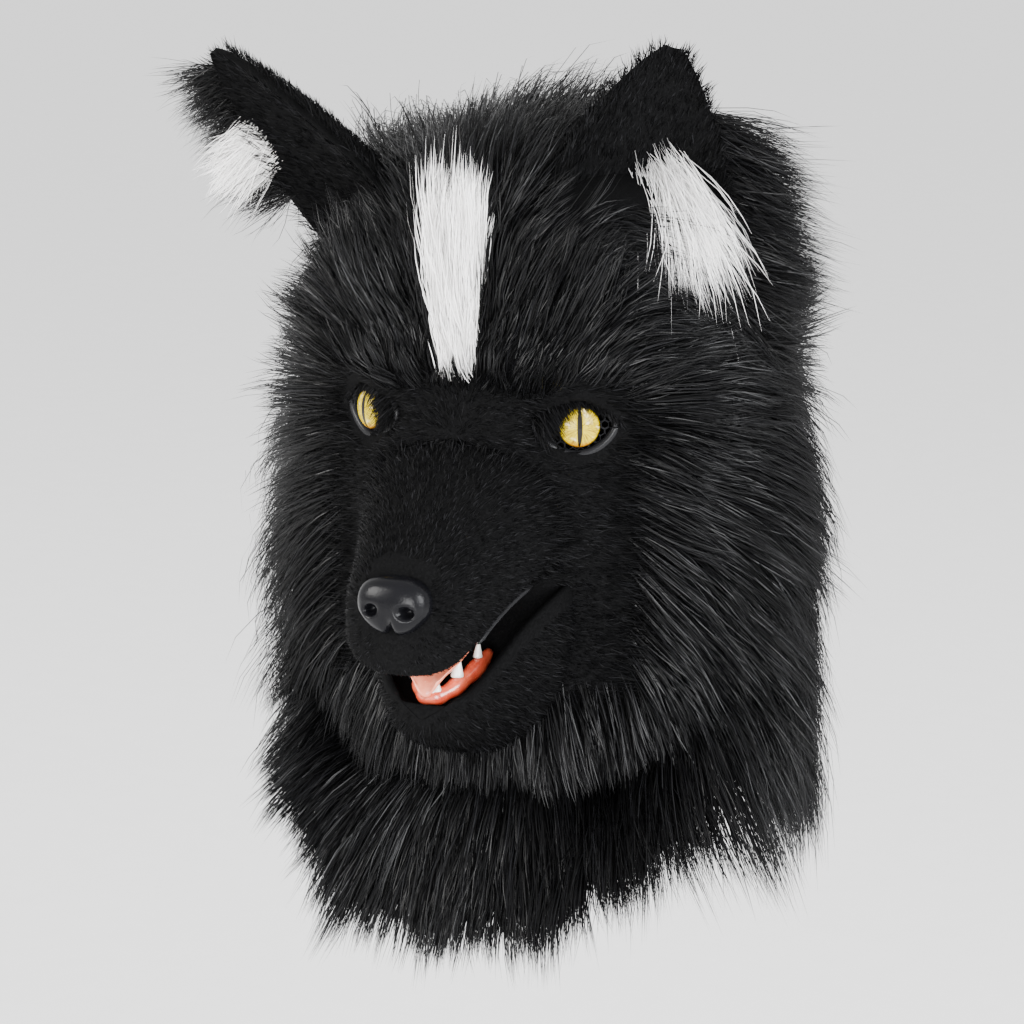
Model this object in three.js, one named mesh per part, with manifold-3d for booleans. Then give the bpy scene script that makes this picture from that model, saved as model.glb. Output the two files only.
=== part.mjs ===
import * as THREE from 'three';
import { mergeVertices } from 'three/addons/utils/BufferGeometryUtils.js';
import Module from 'manifold-3d';

const wasm = await Module();
wasm.setup();

// Driving sizes in millimetres. The origin is the inside of the crown, the face looks along -Y, and +X is
// the wearer's left.
const clearance = 0.3;          // gap between neighbouring pieces
const patchGap = 0.8;           // seam between two fur patches, along the cloth
const hoodWall = 4;             // padded fur cloth of the head and neck
const headHeight = 286;         // crown to throat
const headWidth = 220;
const foreheadDepth = 88;       // from the head's axis to the brow
const napeDepth = 115;          // from the head's axis to the back
const bibDrop = 338;            // crown to the point of the bib
const sideHemDrop = 266;        // crown to the hem at the sides
const backHemDrop = 292;        // crown to the hem at the back
const hemWidth = 226;

const muzzleLength = 156;       // from the head's axis to the front of the upper lip
const muzzleWidth = 100;        // across the corners of the mouth
const muzzleWall = 4;
const stopDrop = 120;           // crown to the dip between eyes and muzzle
const lipDrop = 219;            // crown to the lowest point of the upper lip
const mouthCornerDrop = 182;
const jawLength = 128;          // from the head's axis to the front of the chin
const jawWidth = 98;
const jawWall = 4;
const chinDrop = 258;

const noseWidth = 36;
const noseHeight = 27;
const noseDepth = 20;
const noseDrop = 185;           // crown to the middle of the nose
const nostrilSpan = 17;
const nostrilSize = 6;

const eyeSpan = 106;            // middle to middle
const eyeDrop = 113;            // crown to the middle of the eyes
const eyeTurn = 30;             // degrees that each eye looks outward
const eyeDiameter = 21;
const eyeDome = 5;
const eyeBase = 2.4;
const lidWidth = 37;
const lowerLidDepth = 13.8;
const upperLidHeight = 13.6;
const lidTube = 2.3;            // radius of the moulded lid
const meshThickness = 1;

const lipTube = 1.4;
const gumWidth = 26;
const gumTube = 4.2;
const gumDrop = 236;
const gumRise = 0.42;           // rise of the gums toward the throat, per unit of depth
const tongueWidth = 27;
const tongueThickness = 1.8;
const canineHeight = 10;
const canineWidth = 6.5;
const premolarHeight = 8.5;
const premolarWidth = 4.6;
const incisorHeight = 4.6;
const incisorWidth = 3.6;

const earHeight = 108;
const earBase = 92;
const earWall = 5;
const earCup = 22;
const tuftLength = 52;
const fringeLength = 44;

const furBody = 11;             // dense under-fur with its cloth, on head and neck
const furBacking = 3;           // backing of the tufts, fringes and blaze
const furSeat = 1.3;            // lift of the backing's flat facets over the round cloth
const furLength = 46;           // length of a full lock
const lockWidth = 36;
const lockThickness = 10;
const blazeWidth = 22;
const blazeLength = 46;

// Sections of the head. Drop is a share of headHeight, front of foreheadDepth, back of napeDepth, and side
// of half the headWidth.
const headSections = [
  { latitude: 0.0, drop: 0.0, front: 0.0, back: 0.0, side: 0.0 },
  { latitude: 0.1, drop: 0.01, front: 0.4, back: 0.38, side: 0.38 },
  { latitude: 0.2, drop: 0.042, front: 0.71, back: 0.68, side: 0.69 },
  { latitude: 0.3, drop: 0.105, front: 0.9, back: 0.86, side: 0.87 },
  { latitude: 0.4, drop: 0.203, front: 0.98, back: 0.94, side: 0.945 },
  { latitude: 0.5, drop: 0.322, front: 1.0, back: 0.98, side: 0.98 },
  { latitude: 0.58, drop: 0.413, front: 0.95, back: 1.0, side: 1.0 },
  { latitude: 0.68, drop: 0.531, front: 0.885, back: 1.0, side: 1.02 },
  { latitude: 0.78, drop: 0.664, front: 0.865, back: 0.99, side: 1.03 },
  { latitude: 0.88, drop: 0.797, front: 0.885, back: 0.955, side: 0.985 },
  { latitude: 0.95, drop: 0.902, front: 0.895, back: 0.9, side: 0.93 },
  { latitude: 1.0, drop: 1.0, front: 0.86, back: 0.84, side: 0.85 },
];

// Latitude of the seam between head and neck, by turn in degrees from the face.
const neckSeam = [
  { turn: 0, latitude: 1.0 },
  { turn: 50, latitude: 0.985 },
  { turn: 75, latitude: 0.88 },
  { turn: 98, latitude: 0.77 },
  { turn: 180, latitude: 0.745 },
];

// Hem of the neck. Fall blends from the side hem (0) to the bib's point or the back hem (1), and radius is
// a share of half the hemWidth.
const hemSections = [
  { turn: 0, fall: 1.0, radius: 0.87 },
  { turn: 22, fall: 0.82, radius: 0.89 },
  { turn: 48, fall: 0.42, radius: 0.95 },
  { turn: 80, fall: 0.0, radius: 1.0 },
  { turn: 115, fall: 0.25, radius: 1.0 },
  { turn: 180, fall: 1.0, radius: 0.98 },
];

// Soft relief of the face. Across is a share of half the eyeSpan and drop of eyeDrop, the spreads are
// shares of half the eyeSpan, and push is a share of the foreheadDepth.
const faceRelief = [
  { across: 0.72, drop: 0.84, wide: 0.55, tall: 0.2, push: 0.075 },
  { across: 1.0, drop: 1.01, wide: 0.36, tall: 0.24, push: -0.07 },
  { across: 1.35, drop: 1.32, wide: 0.55, tall: 0.45, push: 0.05 },
  { across: 0.0, drop: 1.34, wide: 0.8, tall: 0.55, push: 0.1 },
];

// Stations of the muzzle. Reach is a share of muzzleLength, top runs from stopDrop (0) to lipDrop (1), lip
// from mouthCornerDrop (0) to lipDrop (1), and half is a share of half the muzzleWidth.
const muzzleStations = [
  { reach: 0.3, top: -0.1, lip: -0.1, half: 1.12 },
  { reach: 0.46, top: -0.05, lip: 0.02, half: 1.06 },
  { reach: 0.56, top: 0.0, lip: 0.14, half: 0.97 },
  { reach: 0.67, top: 0.12, lip: 0.32, half: 0.85 },
  { reach: 0.77, top: 0.25, lip: 0.54, half: 0.75 },
  { reach: 0.865, top: 0.37, lip: 0.8, half: 0.67 },
  { reach: 0.94, top: 0.47, lip: 0.97, half: 0.56 },
  { reach: 0.985, top: 0.6, lip: 0.96, half: 0.36 },
  { reach: 1.0, top: 0.76, lip: 0.86, half: 0.08 },
];

// Stations of the lower jaw. Reach is a share of jawLength, lip runs from mouthCornerDrop (0) to chinDrop
// (1), bottom is a share of chinDrop, and half is a share of half the jawWidth.
const jawStations = [
  { reach: 0.46, lip: 0.05, bottom: 1.045, half: 1.02 },
  { reach: 0.62, lip: 0.12, bottom: 1.045, half: 0.99 },
  { reach: 0.74, lip: 0.29, bottom: 1.035, half: 0.8 },
  { reach: 0.85, lip: 0.49, bottom: 1.015, half: 0.63 },
  { reach: 0.93, lip: 0.655, bottom: 0.995, half: 0.45 },
  { reach: 0.98, lip: 0.73, bottom: 0.975, half: 0.26 },
  { reach: 1.0, lip: 0.82, bottom: 0.955, half: 0.05 },
];

// Outline and cup of an ear. Rise is a share of earHeight, half of half the earBase, and cup of earCup.
const earSections = [
  { rise: 0.0, half: 1.0, cup: 1.0 },
  { rise: 0.22, half: 0.97, cup: 1.0 },
  { rise: 0.45, half: 0.83, cup: 0.85 },
  { rise: 0.68, half: 0.6, cup: 0.6 },
  { rise: 0.85, half: 0.37, cup: 0.36 },
  { rise: 0.95, half: 0.2, cup: 0.2 },
  { rise: 1.0, half: 0.09, cup: 0.1 },
];

// Poses of the ears: the left stands, and the right is splayed outward. Root places are shares of half the
// headWidth, and lean is the direction from the middle of the root to the tip.
const earPoses = [
  {
    side: 1,
    inner: [0.33, -0.63, -0.2],
    outer: [0.9, -0.18, -0.42],
    lean: [0.08, 0.36, 0.98],
    length: 0.9,
    tuftRise: -0.35,
  },
  {
    side: -1,
    inner: [0.4, -0.64, -0.2],
    outer: [0.9, -0.18, -0.45],
    lean: [0.78, 0.02, 0.78],
    length: 1.08,
    tuftRise: 0.35,
  },
];

// Rows of locks on each fur patch. Way is the share of the patch from its top to its bottom, length of
// furLength, and comb is the direction of the locks: outward, backward and up.
const crownRows = [
  { way: 0.22, count: 4, length: 0.85, lift: 1.1, comb: [0.1, 0.9, 0.5] },
  { way: 0.55, count: 6, length: 0.85, lift: 0.8, comb: [0.3, 0.9, 0.5] },
  { way: 0.9, count: 8, length: 0.85, lift: 0.4, comb: [0.3, 0.7, 0.6] },
];
const foreheadRows = [
  { way: 0.3, count: 4, length: 0.6, lift: 0.15, comb: [0.3, 0.0, 1.0] },
  { way: 0.8, count: 4, length: 0.6, lift: 0.15, comb: [0.35, 0.0, 1.0] },
];
const cheekRows = [
  { way: 0.12, count: 3, length: 0.9, lift: 0.45, comb: [0.7, 0.7, -0.4] },
  { way: 0.42, count: 4, length: 1.0, lift: 0.45, comb: [0.7, 0.6, -0.6] },
  { way: 0.72, count: 4, length: 1.0, lift: 0.5, comb: [0.6, 0.4, -0.9] },
];
const backRows = [
  { way: 0.2, count: 4, length: 1.0, lift: 0.35, comb: [0.0, 0.2, -1.0] },
  { way: 0.65, count: 4, length: 1.0, lift: 0.35, comb: [0.0, 0.1, -1.0] },
];
const throatRows = [
  { way: 0.55, count: 4, length: 0.8, lift: 0.2, comb: [0.1, 0.0, -1.0] },
];
const bibRows = [
  { way: 0.35, count: 4, length: 0.9, lift: 0.24, comb: [0.1, -0.1, -1.0] },
  { way: 0.85, count: 6, length: 1.0, lift: 0.05, comb: [0.1, -0.1, -1.0] },
];
const neckSideRows = [
  { way: 0.8, count: 5, length: 1.15, lift: 0.1, comb: [0.2, 0.1, -1.0] },
];
const neckBackRows = [
  { way: 0.84, count: 7, length: 1.1, lift: 0.08, comb: [0.0, 0.1, -1.0] },
];

// Turns and latitudes that bound the fur patches.
const turnGap = THREE.MathUtils.radToDeg(patchGap / headWidth);
const faceTurn = 42;
const napeTurn = 128;
const crownLatitude = 0.36;
const browLatitude = 0.48;
const throatLatitude = 0.93;

// Value of a table column at a key, with a smooth curve through the rows.
function sample(table, key, column, at) {
  const last = table.length - 1;
  let row = 0;
  while (row < last - 1 && at > table[row + 1][key]) row += 1;
  const slope = (index) => {
    const before = table[Math.max(0, index - 1)];
    const after = table[Math.min(last, index + 1)];
    return (after[column] - before[column]) / (after[key] - before[key]);
  };
  const start = table[row];
  const end = table[row + 1];
  const span = end[key] - start[key];
  const share = THREE.MathUtils.clamp((at - start[key]) / span, 0, 1);
  const square = share * share;
  const cube = square * share;
  return (2 * cube - 3 * square + 1) * start[column]
    + (cube - 2 * square + share) * span * slope(row)
    + (3 * square - 2 * cube) * end[column]
    + (cube - square) * span * slope(row + 1);
}

const crownTop = hoodWall;
const radians = THREE.MathUtils.degToRad;
const vector = (x, y, z) => new THREE.Vector3(x, y, z);

// Turn folded to 0 at the face and 180 at the back.
function foldedTurn(turn) {
  const wrapped = ((turn % 360) + 360) % 360;
  return Math.min(wrapped, 360 - wrapped);
}

// Push of the face relief at a place on the front of the head.
function relief(x, z) {
  const unit = eyeSpan / 2;
  let push = 0;
  for (const bump of faceRelief) {
    const acrossShare = (Math.abs(x) - bump.across * unit) / (bump.wide * unit);
    const dropShare = (-z - bump.drop * eyeDrop) / (bump.tall * unit);
    push += bump.push * foreheadDepth * Math.exp(-(acrossShare ** 2) - dropShare ** 2);
  }
  return push;
}

// Point on the outside of the head cloth.
function headPoint(turn, latitude) {
  const angle = radians(turn);
  const forward = Math.cos(angle);
  const z = crownTop - headHeight * sample(headSections, 'latitude', 'drop', latitude);
  const side = 0.5 * headWidth * sample(headSections, 'latitude', 'side', latitude);
  const front = foreheadDepth * sample(headSections, 'latitude', 'front', latitude);
  const back = napeDepth * sample(headSections, 'latitude', 'back', latitude);
  const x = side * Math.sin(angle);
  if (forward <= 0) return vector(x, -back * forward, z);
  const push = relief(x, z) * THREE.MathUtils.smoothstep(forward, 0, 0.5);
  return vector(x, -front * forward - push, z);
}

const seamLatitude = (turn) => sample(neckSeam, 'turn', 'latitude', foldedTurn(turn));

// Point on the outside of the neck cloth, from the seam (way 0) to the hem (way 1).
function neckPoint(turn, way) {
  const folded = foldedTurn(turn);
  const angle = radians(turn);
  const seam = headPoint(turn, seamLatitude(turn));
  seam.z -= clearance;
  const fall = sample(hemSections, 'turn', 'fall', folded);
  const lowest = folded < 80 ? bibDrop : backHemDrop;
  const radius = 0.5 * hemWidth * sample(hemSections, 'turn', 'radius', folded);
  const hem = vector(
    radius * Math.sin(angle),
    -radius * Math.cos(angle),
    crownTop - THREE.MathUtils.lerp(sideHemDrop, lowest, fall),
  );
  return seam.lerp(hem, way);
}

// Surface point moved outward along the surface's normal.
function offsetPoint(surface, turn, way, offset) {
  const step = 0.004;
  const low = Math.max(way - step, 0.002);
  const across = surface(turn + 1, way).sub(surface(turn - 1, way));
  const down = surface(turn, low + 2 * step).sub(surface(turn, low));
  const normal = across.lengthSq() < 1e-6 ? vector(0, 0, 1) : down.cross(across).normalize();
  return surface(turn, way).addScaledVector(normal, offset);
}

// Closed mesh from a list of rings with equal counts, capped by a fan about each end ring's middle.
function loftRings(rings) {
  const positions = [];
  const index = [];
  const count = rings[0].length;
  for (const ring of rings) for (const point of ring) positions.push(point.x, point.y, point.z);
  for (let row = 0; row + 1 < rings.length; row += 1) {
    for (let column = 0; column < count; column += 1) {
      const next = (column + 1) % count;
      const corner = row * count + column;
      const beside = row * count + next;
      index.push(corner, beside, beside + count, corner, beside + count, corner + count);
    }
  }
  for (const [row, flip] of [[0, true], [rings.length - 1, false]]) {
    const middle = vector(0, 0, 0);
    for (const point of rings[row]) middle.addScaledVector(point, 1 / count);
    const centre = positions.length / 3;
    positions.push(middle.x, middle.y, middle.z);
    for (let column = 0; column < count; column += 1) {
      const corner = row * count + column;
      const beside = row * count + ((column + 1) % count);
      if (flip) index.push(centre, beside, corner);
      else index.push(centre, corner, beside);
    }
  }
  return geometryOf(positions, index);
}

// Closed mesh between two grids of points, front and back, joined along their borders.
function slabGeometry(front, back, wrapped) {
  const rows = front.length;
  const columns = front[0].length;
  const positions = [];
  const index = [];
  for (const grid of [front, back]) {
    for (const row of grid) for (const point of row) positions.push(point.x, point.y, point.z);
  }
  const layer = rows * columns;
  const lastColumn = wrapped ? columns : columns - 1;
  const quad = (a, b, c, d) => index.push(a, b, c, a, c, d);
  for (let row = 0; row + 1 < rows; row += 1) {
    for (let column = 0; column < lastColumn; column += 1) {
      const a = row * columns + column;
      const b = row * columns + ((column + 1) % columns);
      quad(a, b, b + columns, a + columns);
      quad(layer + a, layer + a + columns, layer + b + columns, layer + b);
    }
  }
  for (let column = 0; column < lastColumn; column += 1) {
    const next = (column + 1) % columns;
    const low = (rows - 1) * columns;
    quad(next, column, layer + column, layer + next);
    quad(low + column, low + next, layer + low + next, layer + low + column);
  }
  if (!wrapped) {
    for (let row = 0; row + 1 < rows; row += 1) {
      const a = row * columns;
      const b = a + columns - 1;
      quad(a, a + columns, layer + a + columns, layer + a);
      quad(b + columns, b, layer + b, layer + b + columns);
    }
  }
  return geometryOf(positions, index);
}

// Indexed geometry with shared vertices, turned right way out.
function geometryOf(positions, index) {
  const geometry = new THREE.BufferGeometry();
  geometry.setAttribute('position', new THREE.Float32BufferAttribute(positions, 3));
  geometry.setIndex(index);
  return outward(mergeVertices(geometry, 1e-3));
}

// Geometry without collapsed triangles, with its faces outward.
function outward(geometry) {
  const place = geometry.getAttribute('position');
  const index = [...geometry.index.array];
  const kept = [];
  let volume = 0;
  const corners = [vector(0, 0, 0), vector(0, 0, 0), vector(0, 0, 0)];
  for (let start = 0; start < index.length; start += 3) {
    const [a, b, c] = index.slice(start, start + 3);
    if (a === b || b === c || a === c) continue;
    kept.push(a, b, c);
    [a, b, c].forEach((corner, slot) => corners[slot].fromBufferAttribute(place, corner));
    volume += corners[0].dot(corners[1].cross(corners[2])) / 6;
  }
  geometry.setIndex(volume > 0 ? kept : kept.reverse());
  return geometry;
}

// Solid for joining and cutting, from any closed geometry.
function solidOf(geometry) {
  const plain = geometry.clone();
  plain.deleteAttribute('normal');
  plain.deleteAttribute('uv');
  const merged = outward(mergeVertices(plain, 1e-4));
  return new wasm.Manifold(new wasm.Mesh({
    numProp: 3,
    vertProperties: new Float32Array(merged.getAttribute('position').array),
    triVerts: new Uint32Array(merged.index.array),
  }));
}

// Geometry of the largest closed surface of a solid. Slivers and sealed pockets are left out.
function largestBody(solid) {
  const bodies = solid.decompose();
  bodies.sort((first, second) => second.volume() - first.volume());
  const mesh = bodies[0].getMesh();
  const geometry = new THREE.BufferGeometry();
  const places = [];
  for (let start = 0; start < mesh.vertProperties.length; start += mesh.numProp) {
    places.push(...mesh.vertProperties.slice(start, start + 3));
  }
  geometry.setAttribute('position', new THREE.Float32BufferAttribute(places, 3));
  geometry.setIndex([...mesh.triVerts]);
  return geometry;
}


const material = (color, roughness, metalness = 0) =>
  new THREE.MeshStandardMaterial({ color, roughness, metalness });
const blackFur = material('#141415', 0.75);
const shortPile = material('#101011', 0.85);
const whiteFur = material('#e2e0de', 0.75);
const noseVinyl = material('#17181a', 0.35);
const lidVinyl = material('#1c1d1f', 0.3);
const meshCloth = material('#0c0c0d', 0.6);
const irisYellow = material('#d8b51c', 0.12);
const gumRed = material('#c2412b', 0.3);
const tonguePink = material('#d9705a', 0.4);
const toothWhite = material('#ece8e2', 0.3);

const hood = new THREE.Group();
hood.name = 'fox_hood';

function addPiece(name, geometry, look) {
  geometry.computeVertexNormals();
  const mesh = new THREE.Mesh(geometry, look);
  mesh.name = name;
  hood.add(mesh);
}

// Rings of a shell between two offsets of a surface, with rows at the given ways.
function shellGrid(surface, turns, ways, offset) {
  return ways.map((way) => turns.map((turn) => offsetPoint(surface, turn, way, offset)));
}
const evenly = (from, to, count) =>
  Array.from({ length: count }, (_, step) => THREE.MathUtils.lerp(from, to, step / (count - 1)));

// Head surface by turn and by the share of the way from the crown to the neck seam.
const headToSeam = (turn, way) => headPoint(turn, way * seamLatitude(turn));

// Turns of a whole ring.
const ringTurns = (count) => Array.from({ length: count }, (_, step) => (360 * step) / count);

const headColumns = 24;
const headWays = [0, 0.1, 0.2, 0.31, 0.42, 0.52, 0.61, 0.7, 0.8, 0.9, 1.0];

// Solid of the whole head, without its hollow, grown by an offset.
function headSolid(offset) {
  const rings = shellGrid(headToSeam, ringTurns(headColumns), headWays.slice(1), offset);
  for (const point of rings.at(-1)) point.z -= offset;
  return solidOf(loftRings(rings)).add(solidOf(crownCap(offset)));
}

// Low cone that closes the crown above the first ring.
function crownCap(offset) {
  const rim = shellGrid(headToSeam, ringTurns(headColumns), [headWays[1]], offset)[0];
  const inner = rim.map((point) => point.clone().setZ(point.z - hoodWall));
  const top = offsetPoint(headToSeam, 0, 0, offset);
  const tip = rim.map(() => top.clone());
  return loftRings([inner, rim, tip]);
}

// Face place to surface: the turn and latitude whose point has the given x and z.
function facePlace(x, z) {
  let low = 0.05;
  let high = 1;
  for (let round = 0; round < 40; round += 1) {
    const middle = (low + high) / 2;
    if (headPoint(0, middle).z > z) low = middle;
    else high = middle;
  }
  const side = 0.5 * headWidth * sample(headSections, 'latitude', 'side', low);
  const turn = THREE.MathUtils.radToDeg(Math.asin(THREE.MathUtils.clamp(x / side, -1, 1)));
  return { turn, latitude: low };
}
const onFace = (x, z) => {
  const place = facePlace(x, z);
  return headPoint(place.turn, place.latitude);
};

// Muzzle surface by station and by angle round the section, shrunk by an inset.
const muzzleColumns = 20;
function muzzleSection(reach, inset) {
  const top = -THREE.MathUtils.lerp(stopDrop, lipDrop, sample(muzzleStations, 'reach', 'top', reach)) - inset;
  const lip = -THREE.MathUtils.lerp(mouthCornerDrop, lipDrop, sample(muzzleStations, 'reach', 'lip', reach))
    + inset;
  const half = 0.5 * muzzleWidth * sample(muzzleStations, 'reach', 'half', reach) - inset;
  const widest = THREE.MathUtils.lerp(lip, top, 0.36);
  return Array.from({ length: muzzleColumns }, (_, step) => {
    const angle = (2 * Math.PI * step) / muzzleColumns;
    const rise = Math.cos(angle);
    const across = Math.sin(angle);
    const height = rise > 0 ? (top - widest) * rise : (lip - widest) * Math.abs(rise) ** 0.55;
    return vector(
      Math.max(half, 0.6) * Math.sign(across) * Math.abs(across) ** 0.82,
      -reach * muzzleLength,
      widest + height,
    );
  });
}

const muzzleReaches = [0.3, 0.46, 0.56, 0.67, 0.77, 0.865, 0.94, 0.985, 1.0];
const muzzleOuter = (grow) => solidOf(loftRings(muzzleReaches.map((reach) => muzzleSection(reach, -grow))));
function muzzleHollow() {
  const reaches = muzzleReaches.slice(0, 6);
  const rings = reaches.map((reach) => muzzleSection(reach, muzzleWall));
  return solidOf(loftRings(rings));
}

// Level of the mouth's floor, which rises toward the throat as the gums do.
const gumFront = -jawLength + jawWall + gumTube + 1;
const floorLevel = (depth) => -gumDrop - gumTube - clearance + gumRise * (depth - gumFront);

// Section of the lower jaw: flat at its lip, round below, and lifted by a rise above the lip.
const jawColumns = 18;
function jawSection(reach, inset, lifted, floorRise) {
  const depth = -reach * jawLength;
  const lipAt = -THREE.MathUtils.lerp(mouthCornerDrop, chinDrop, sample(jawStations, 'reach', 'lip', reach));
  const chinAt = -chinDrop * sample(jawStations, 'reach', 'bottom', reach);
  const bottom = floorRise === null ? chinAt : Math.min(floorLevel(depth) + floorRise, lipAt - 1);
  const half = Math.max(0.5 * jawWidth * sample(jawStations, 'reach', 'half', reach) - inset, 0.6);
  return Array.from({ length: jawColumns }, (_, step) => {
    const angle = (2 * Math.PI * step) / jawColumns;
    const rise = Math.cos(angle);
    const across = Math.sin(angle);
    return vector(
      half * Math.sign(across) * Math.abs(across) ** 0.8,
      depth,
      rise > 0 ? lipAt + lifted : lipAt + (bottom - lipAt) * Math.abs(rise) ** 0.7,
    );
  });
}
const jawReaches = [0.46, 0.62, 0.74, 0.85, 0.93, 0.98, 1.0];
const troughReaches = [0.4, 0.62, 0.74, 0.85, 0.92, 0.96];
function jawSolid(grow) {
  const body = jawReaches.map((reach) => jawSection(reach, -grow, grow, null));
  const trough = troughReaches.map((reach) => jawSection(reach, jawWall + grow, 3 * jawWall, grow));
  return solidOf(loftRings(body)).subtract(solidOf(loftRings(trough)));
}

// Frame of an eye: its middle on the face, and the axes across, up and out of it.
function eyeFrame(side) {
  const middle = onFace(side * eyeSpan / 2, -eyeDrop);
  const angle = radians(eyeTurn) * side;
  const out = vector(Math.sin(angle), -Math.cos(angle), 0);
  const up = vector(0, 0, 1);
  const across = up.clone().cross(out).normalize().multiplyScalar(side);
  return { middle, across, up, out };
}
const inFrame = (frame, a, b, c) => frame.middle.clone()
  .addScaledVector(frame.across, a)
  .addScaledVector(frame.up, b)
  .addScaledVector(frame.out, c);

// Almond outline of the lids, about a middle set a little toward the nose.
function lidOutline(frame, inset, depth, count) {
  const noseward = -0.06 * lidWidth;
  return Array.from({ length: count }, (_, step) => {
    const angle = (2 * Math.PI * step) / count;
    const height = Math.sin(angle) > 0 ? upperLidHeight : lowerLidDepth;
    return inFrame(
      frame,
      noseward + (lidWidth / 2 - inset) * Math.cos(angle),
      (height - inset) * Math.sin(angle) * (0.55 + 0.45 * Math.abs(Math.sin(angle))),
      depth,
    );
  });
}
const lidSteps = 20;
function lidPrism(frame, inset, from, to) {
  return loftRings([lidOutline(frame, inset, from, lidSteps), lidOutline(frame, inset, to, lidSteps)]);
}

const lidSolid = (frame, grow) =>
  solidOf(tubeAlong(lidOutline(frame, 0, 0, 14), lidTube + grow, 22, true));

// Tube of a given radius along a closed or open curve.
function tubeAlong(points, radius, steps, closed) {
  const curve = new THREE.CatmullRomCurve3(points, closed);
  const section = new THREE.Shape();
  section.absarc(0, 0, radius, 0, 2 * Math.PI, false);
  return new THREE.ExtrudeGeometry(section, { steps, extrudePath: curve, curveSegments: 4 });
}

// Turned dome of the eye, lying on its flat back.
function eyeGeometry(frame) {
  const radius = eyeDiameter / 2;
  const profile = [new THREE.Vector2(0, 0), new THREE.Vector2(radius, 0), new THREE.Vector2(radius, eyeBase)];
  for (const share of [0.75, 0.5, 0.25, 0]) {
    const fall = Math.sqrt(1 - share * share);
    profile.push(new THREE.Vector2(radius * share, eyeBase + eyeDome * fall));
  }
  const geometry = new THREE.LatheGeometry(profile, 16);
  const axes = new THREE.Matrix4().makeBasis(frame.across, frame.out, frame.across.clone().cross(frame.out));
  axes.setPosition(inFrame(frame, 0, 0, eyeSeat + clearance));
  return geometry.applyMatrix4(axes);
}
const eyeSeat = meshThickness - 2;     // front of the mesh, relative to the face cloth

// Frame and surface of an ear. Across runs from the inner edge (-1) to the outer edge (1).
function earFrame(pose) {
  const unit = headWidth / 2;
  const place = ([x, y, z]) => vector(pose.side * x * unit, y * unit, z * unit);
  const inner = place(pose.inner);
  const outer = place(pose.outer);
  const middle = inner.clone().add(outer).multiplyScalar(0.5);
  const across = outer.clone().sub(inner).normalize();
  const rise = vector(pose.side * pose.lean[0], pose.lean[1], pose.lean[2]).normalize();
  const facing = across.clone().cross(rise).multiplyScalar(pose.side).normalize();
  return { middle, across, rise, facing, length: earHeight * pose.length };
}
function earPoint(frame, across, rise, lift) {
  const half = 0.5 * earBase * sample(earSections, 'rise', 'half', rise);
  const cup = earCup * sample(earSections, 'rise', 'cup', rise);
  const depth = cup * (1 - across * across);
  return frame.middle.clone()
    .addScaledVector(frame.across, across * half)
    .addScaledVector(frame.rise, frame.length * rise)
    .addScaledVector(frame.facing, lift - depth);
}
function earSolid(frame, grow) {
  const acrossSteps = evenly(-1 - grow / 40, 1 + grow / 40, 9);
  const riseSteps = [-0.12, 0, 0.22, 0.45, 0.68, 0.85, 0.95, 1 + grow / 100];
  const grid = (lift) => riseSteps.map((rise) => acrossSteps.map((across) => {
    const beyond = rise - THREE.MathUtils.clamp(rise, 0, 1);
    return earPoint(frame, across, Math.max(rise, 0), lift).addScaledVector(frame.rise, frame.length * beyond);
  }));
  return solidOf(slabGeometry(grid(grow), grid(-earWall - grow), false));
}

// Pointed lock: a ridge that starts wide in its backing, droops a little and ends in a tip.
function lockSolid(root, direction, outwardAxis, length, width, grow) {
  const along = direction.clone().normalize();
  const beside = along.clone().cross(outwardAxis).normalize();
  const above = beside.clone().cross(along).normalize();
  const ring = (distance, share, rise) => {
    const centre = root.clone().addScaledVector(along, distance).addScaledVector(above, rise);
    const slope = Math.atan2(lockThickness, 0.5 * width);
    const half = 0.5 * width * share + 1.1 * grow / Math.tan(slope / 2);
    const height = lockThickness * share + 1.1 * grow / Math.cos(slope);
    return [
      centre.clone().addScaledVector(beside, half).addScaledVector(above, -grow),
      centre.clone().addScaledVector(above, height),
      centre.clone().addScaledVector(beside, -half).addScaledVector(above, -grow),
    ];
  };
  const middle = ring(0.5 * length, 0.86, 0.05 * length);
  const tip = root.clone().addScaledVector(along, length + 2 * grow).addScaledVector(above, -grow);
  return solidOf(loftRings([ring(-grow, 0.6, 0), middle, [tip, tip.clone(), tip.clone()]]));
}

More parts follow.
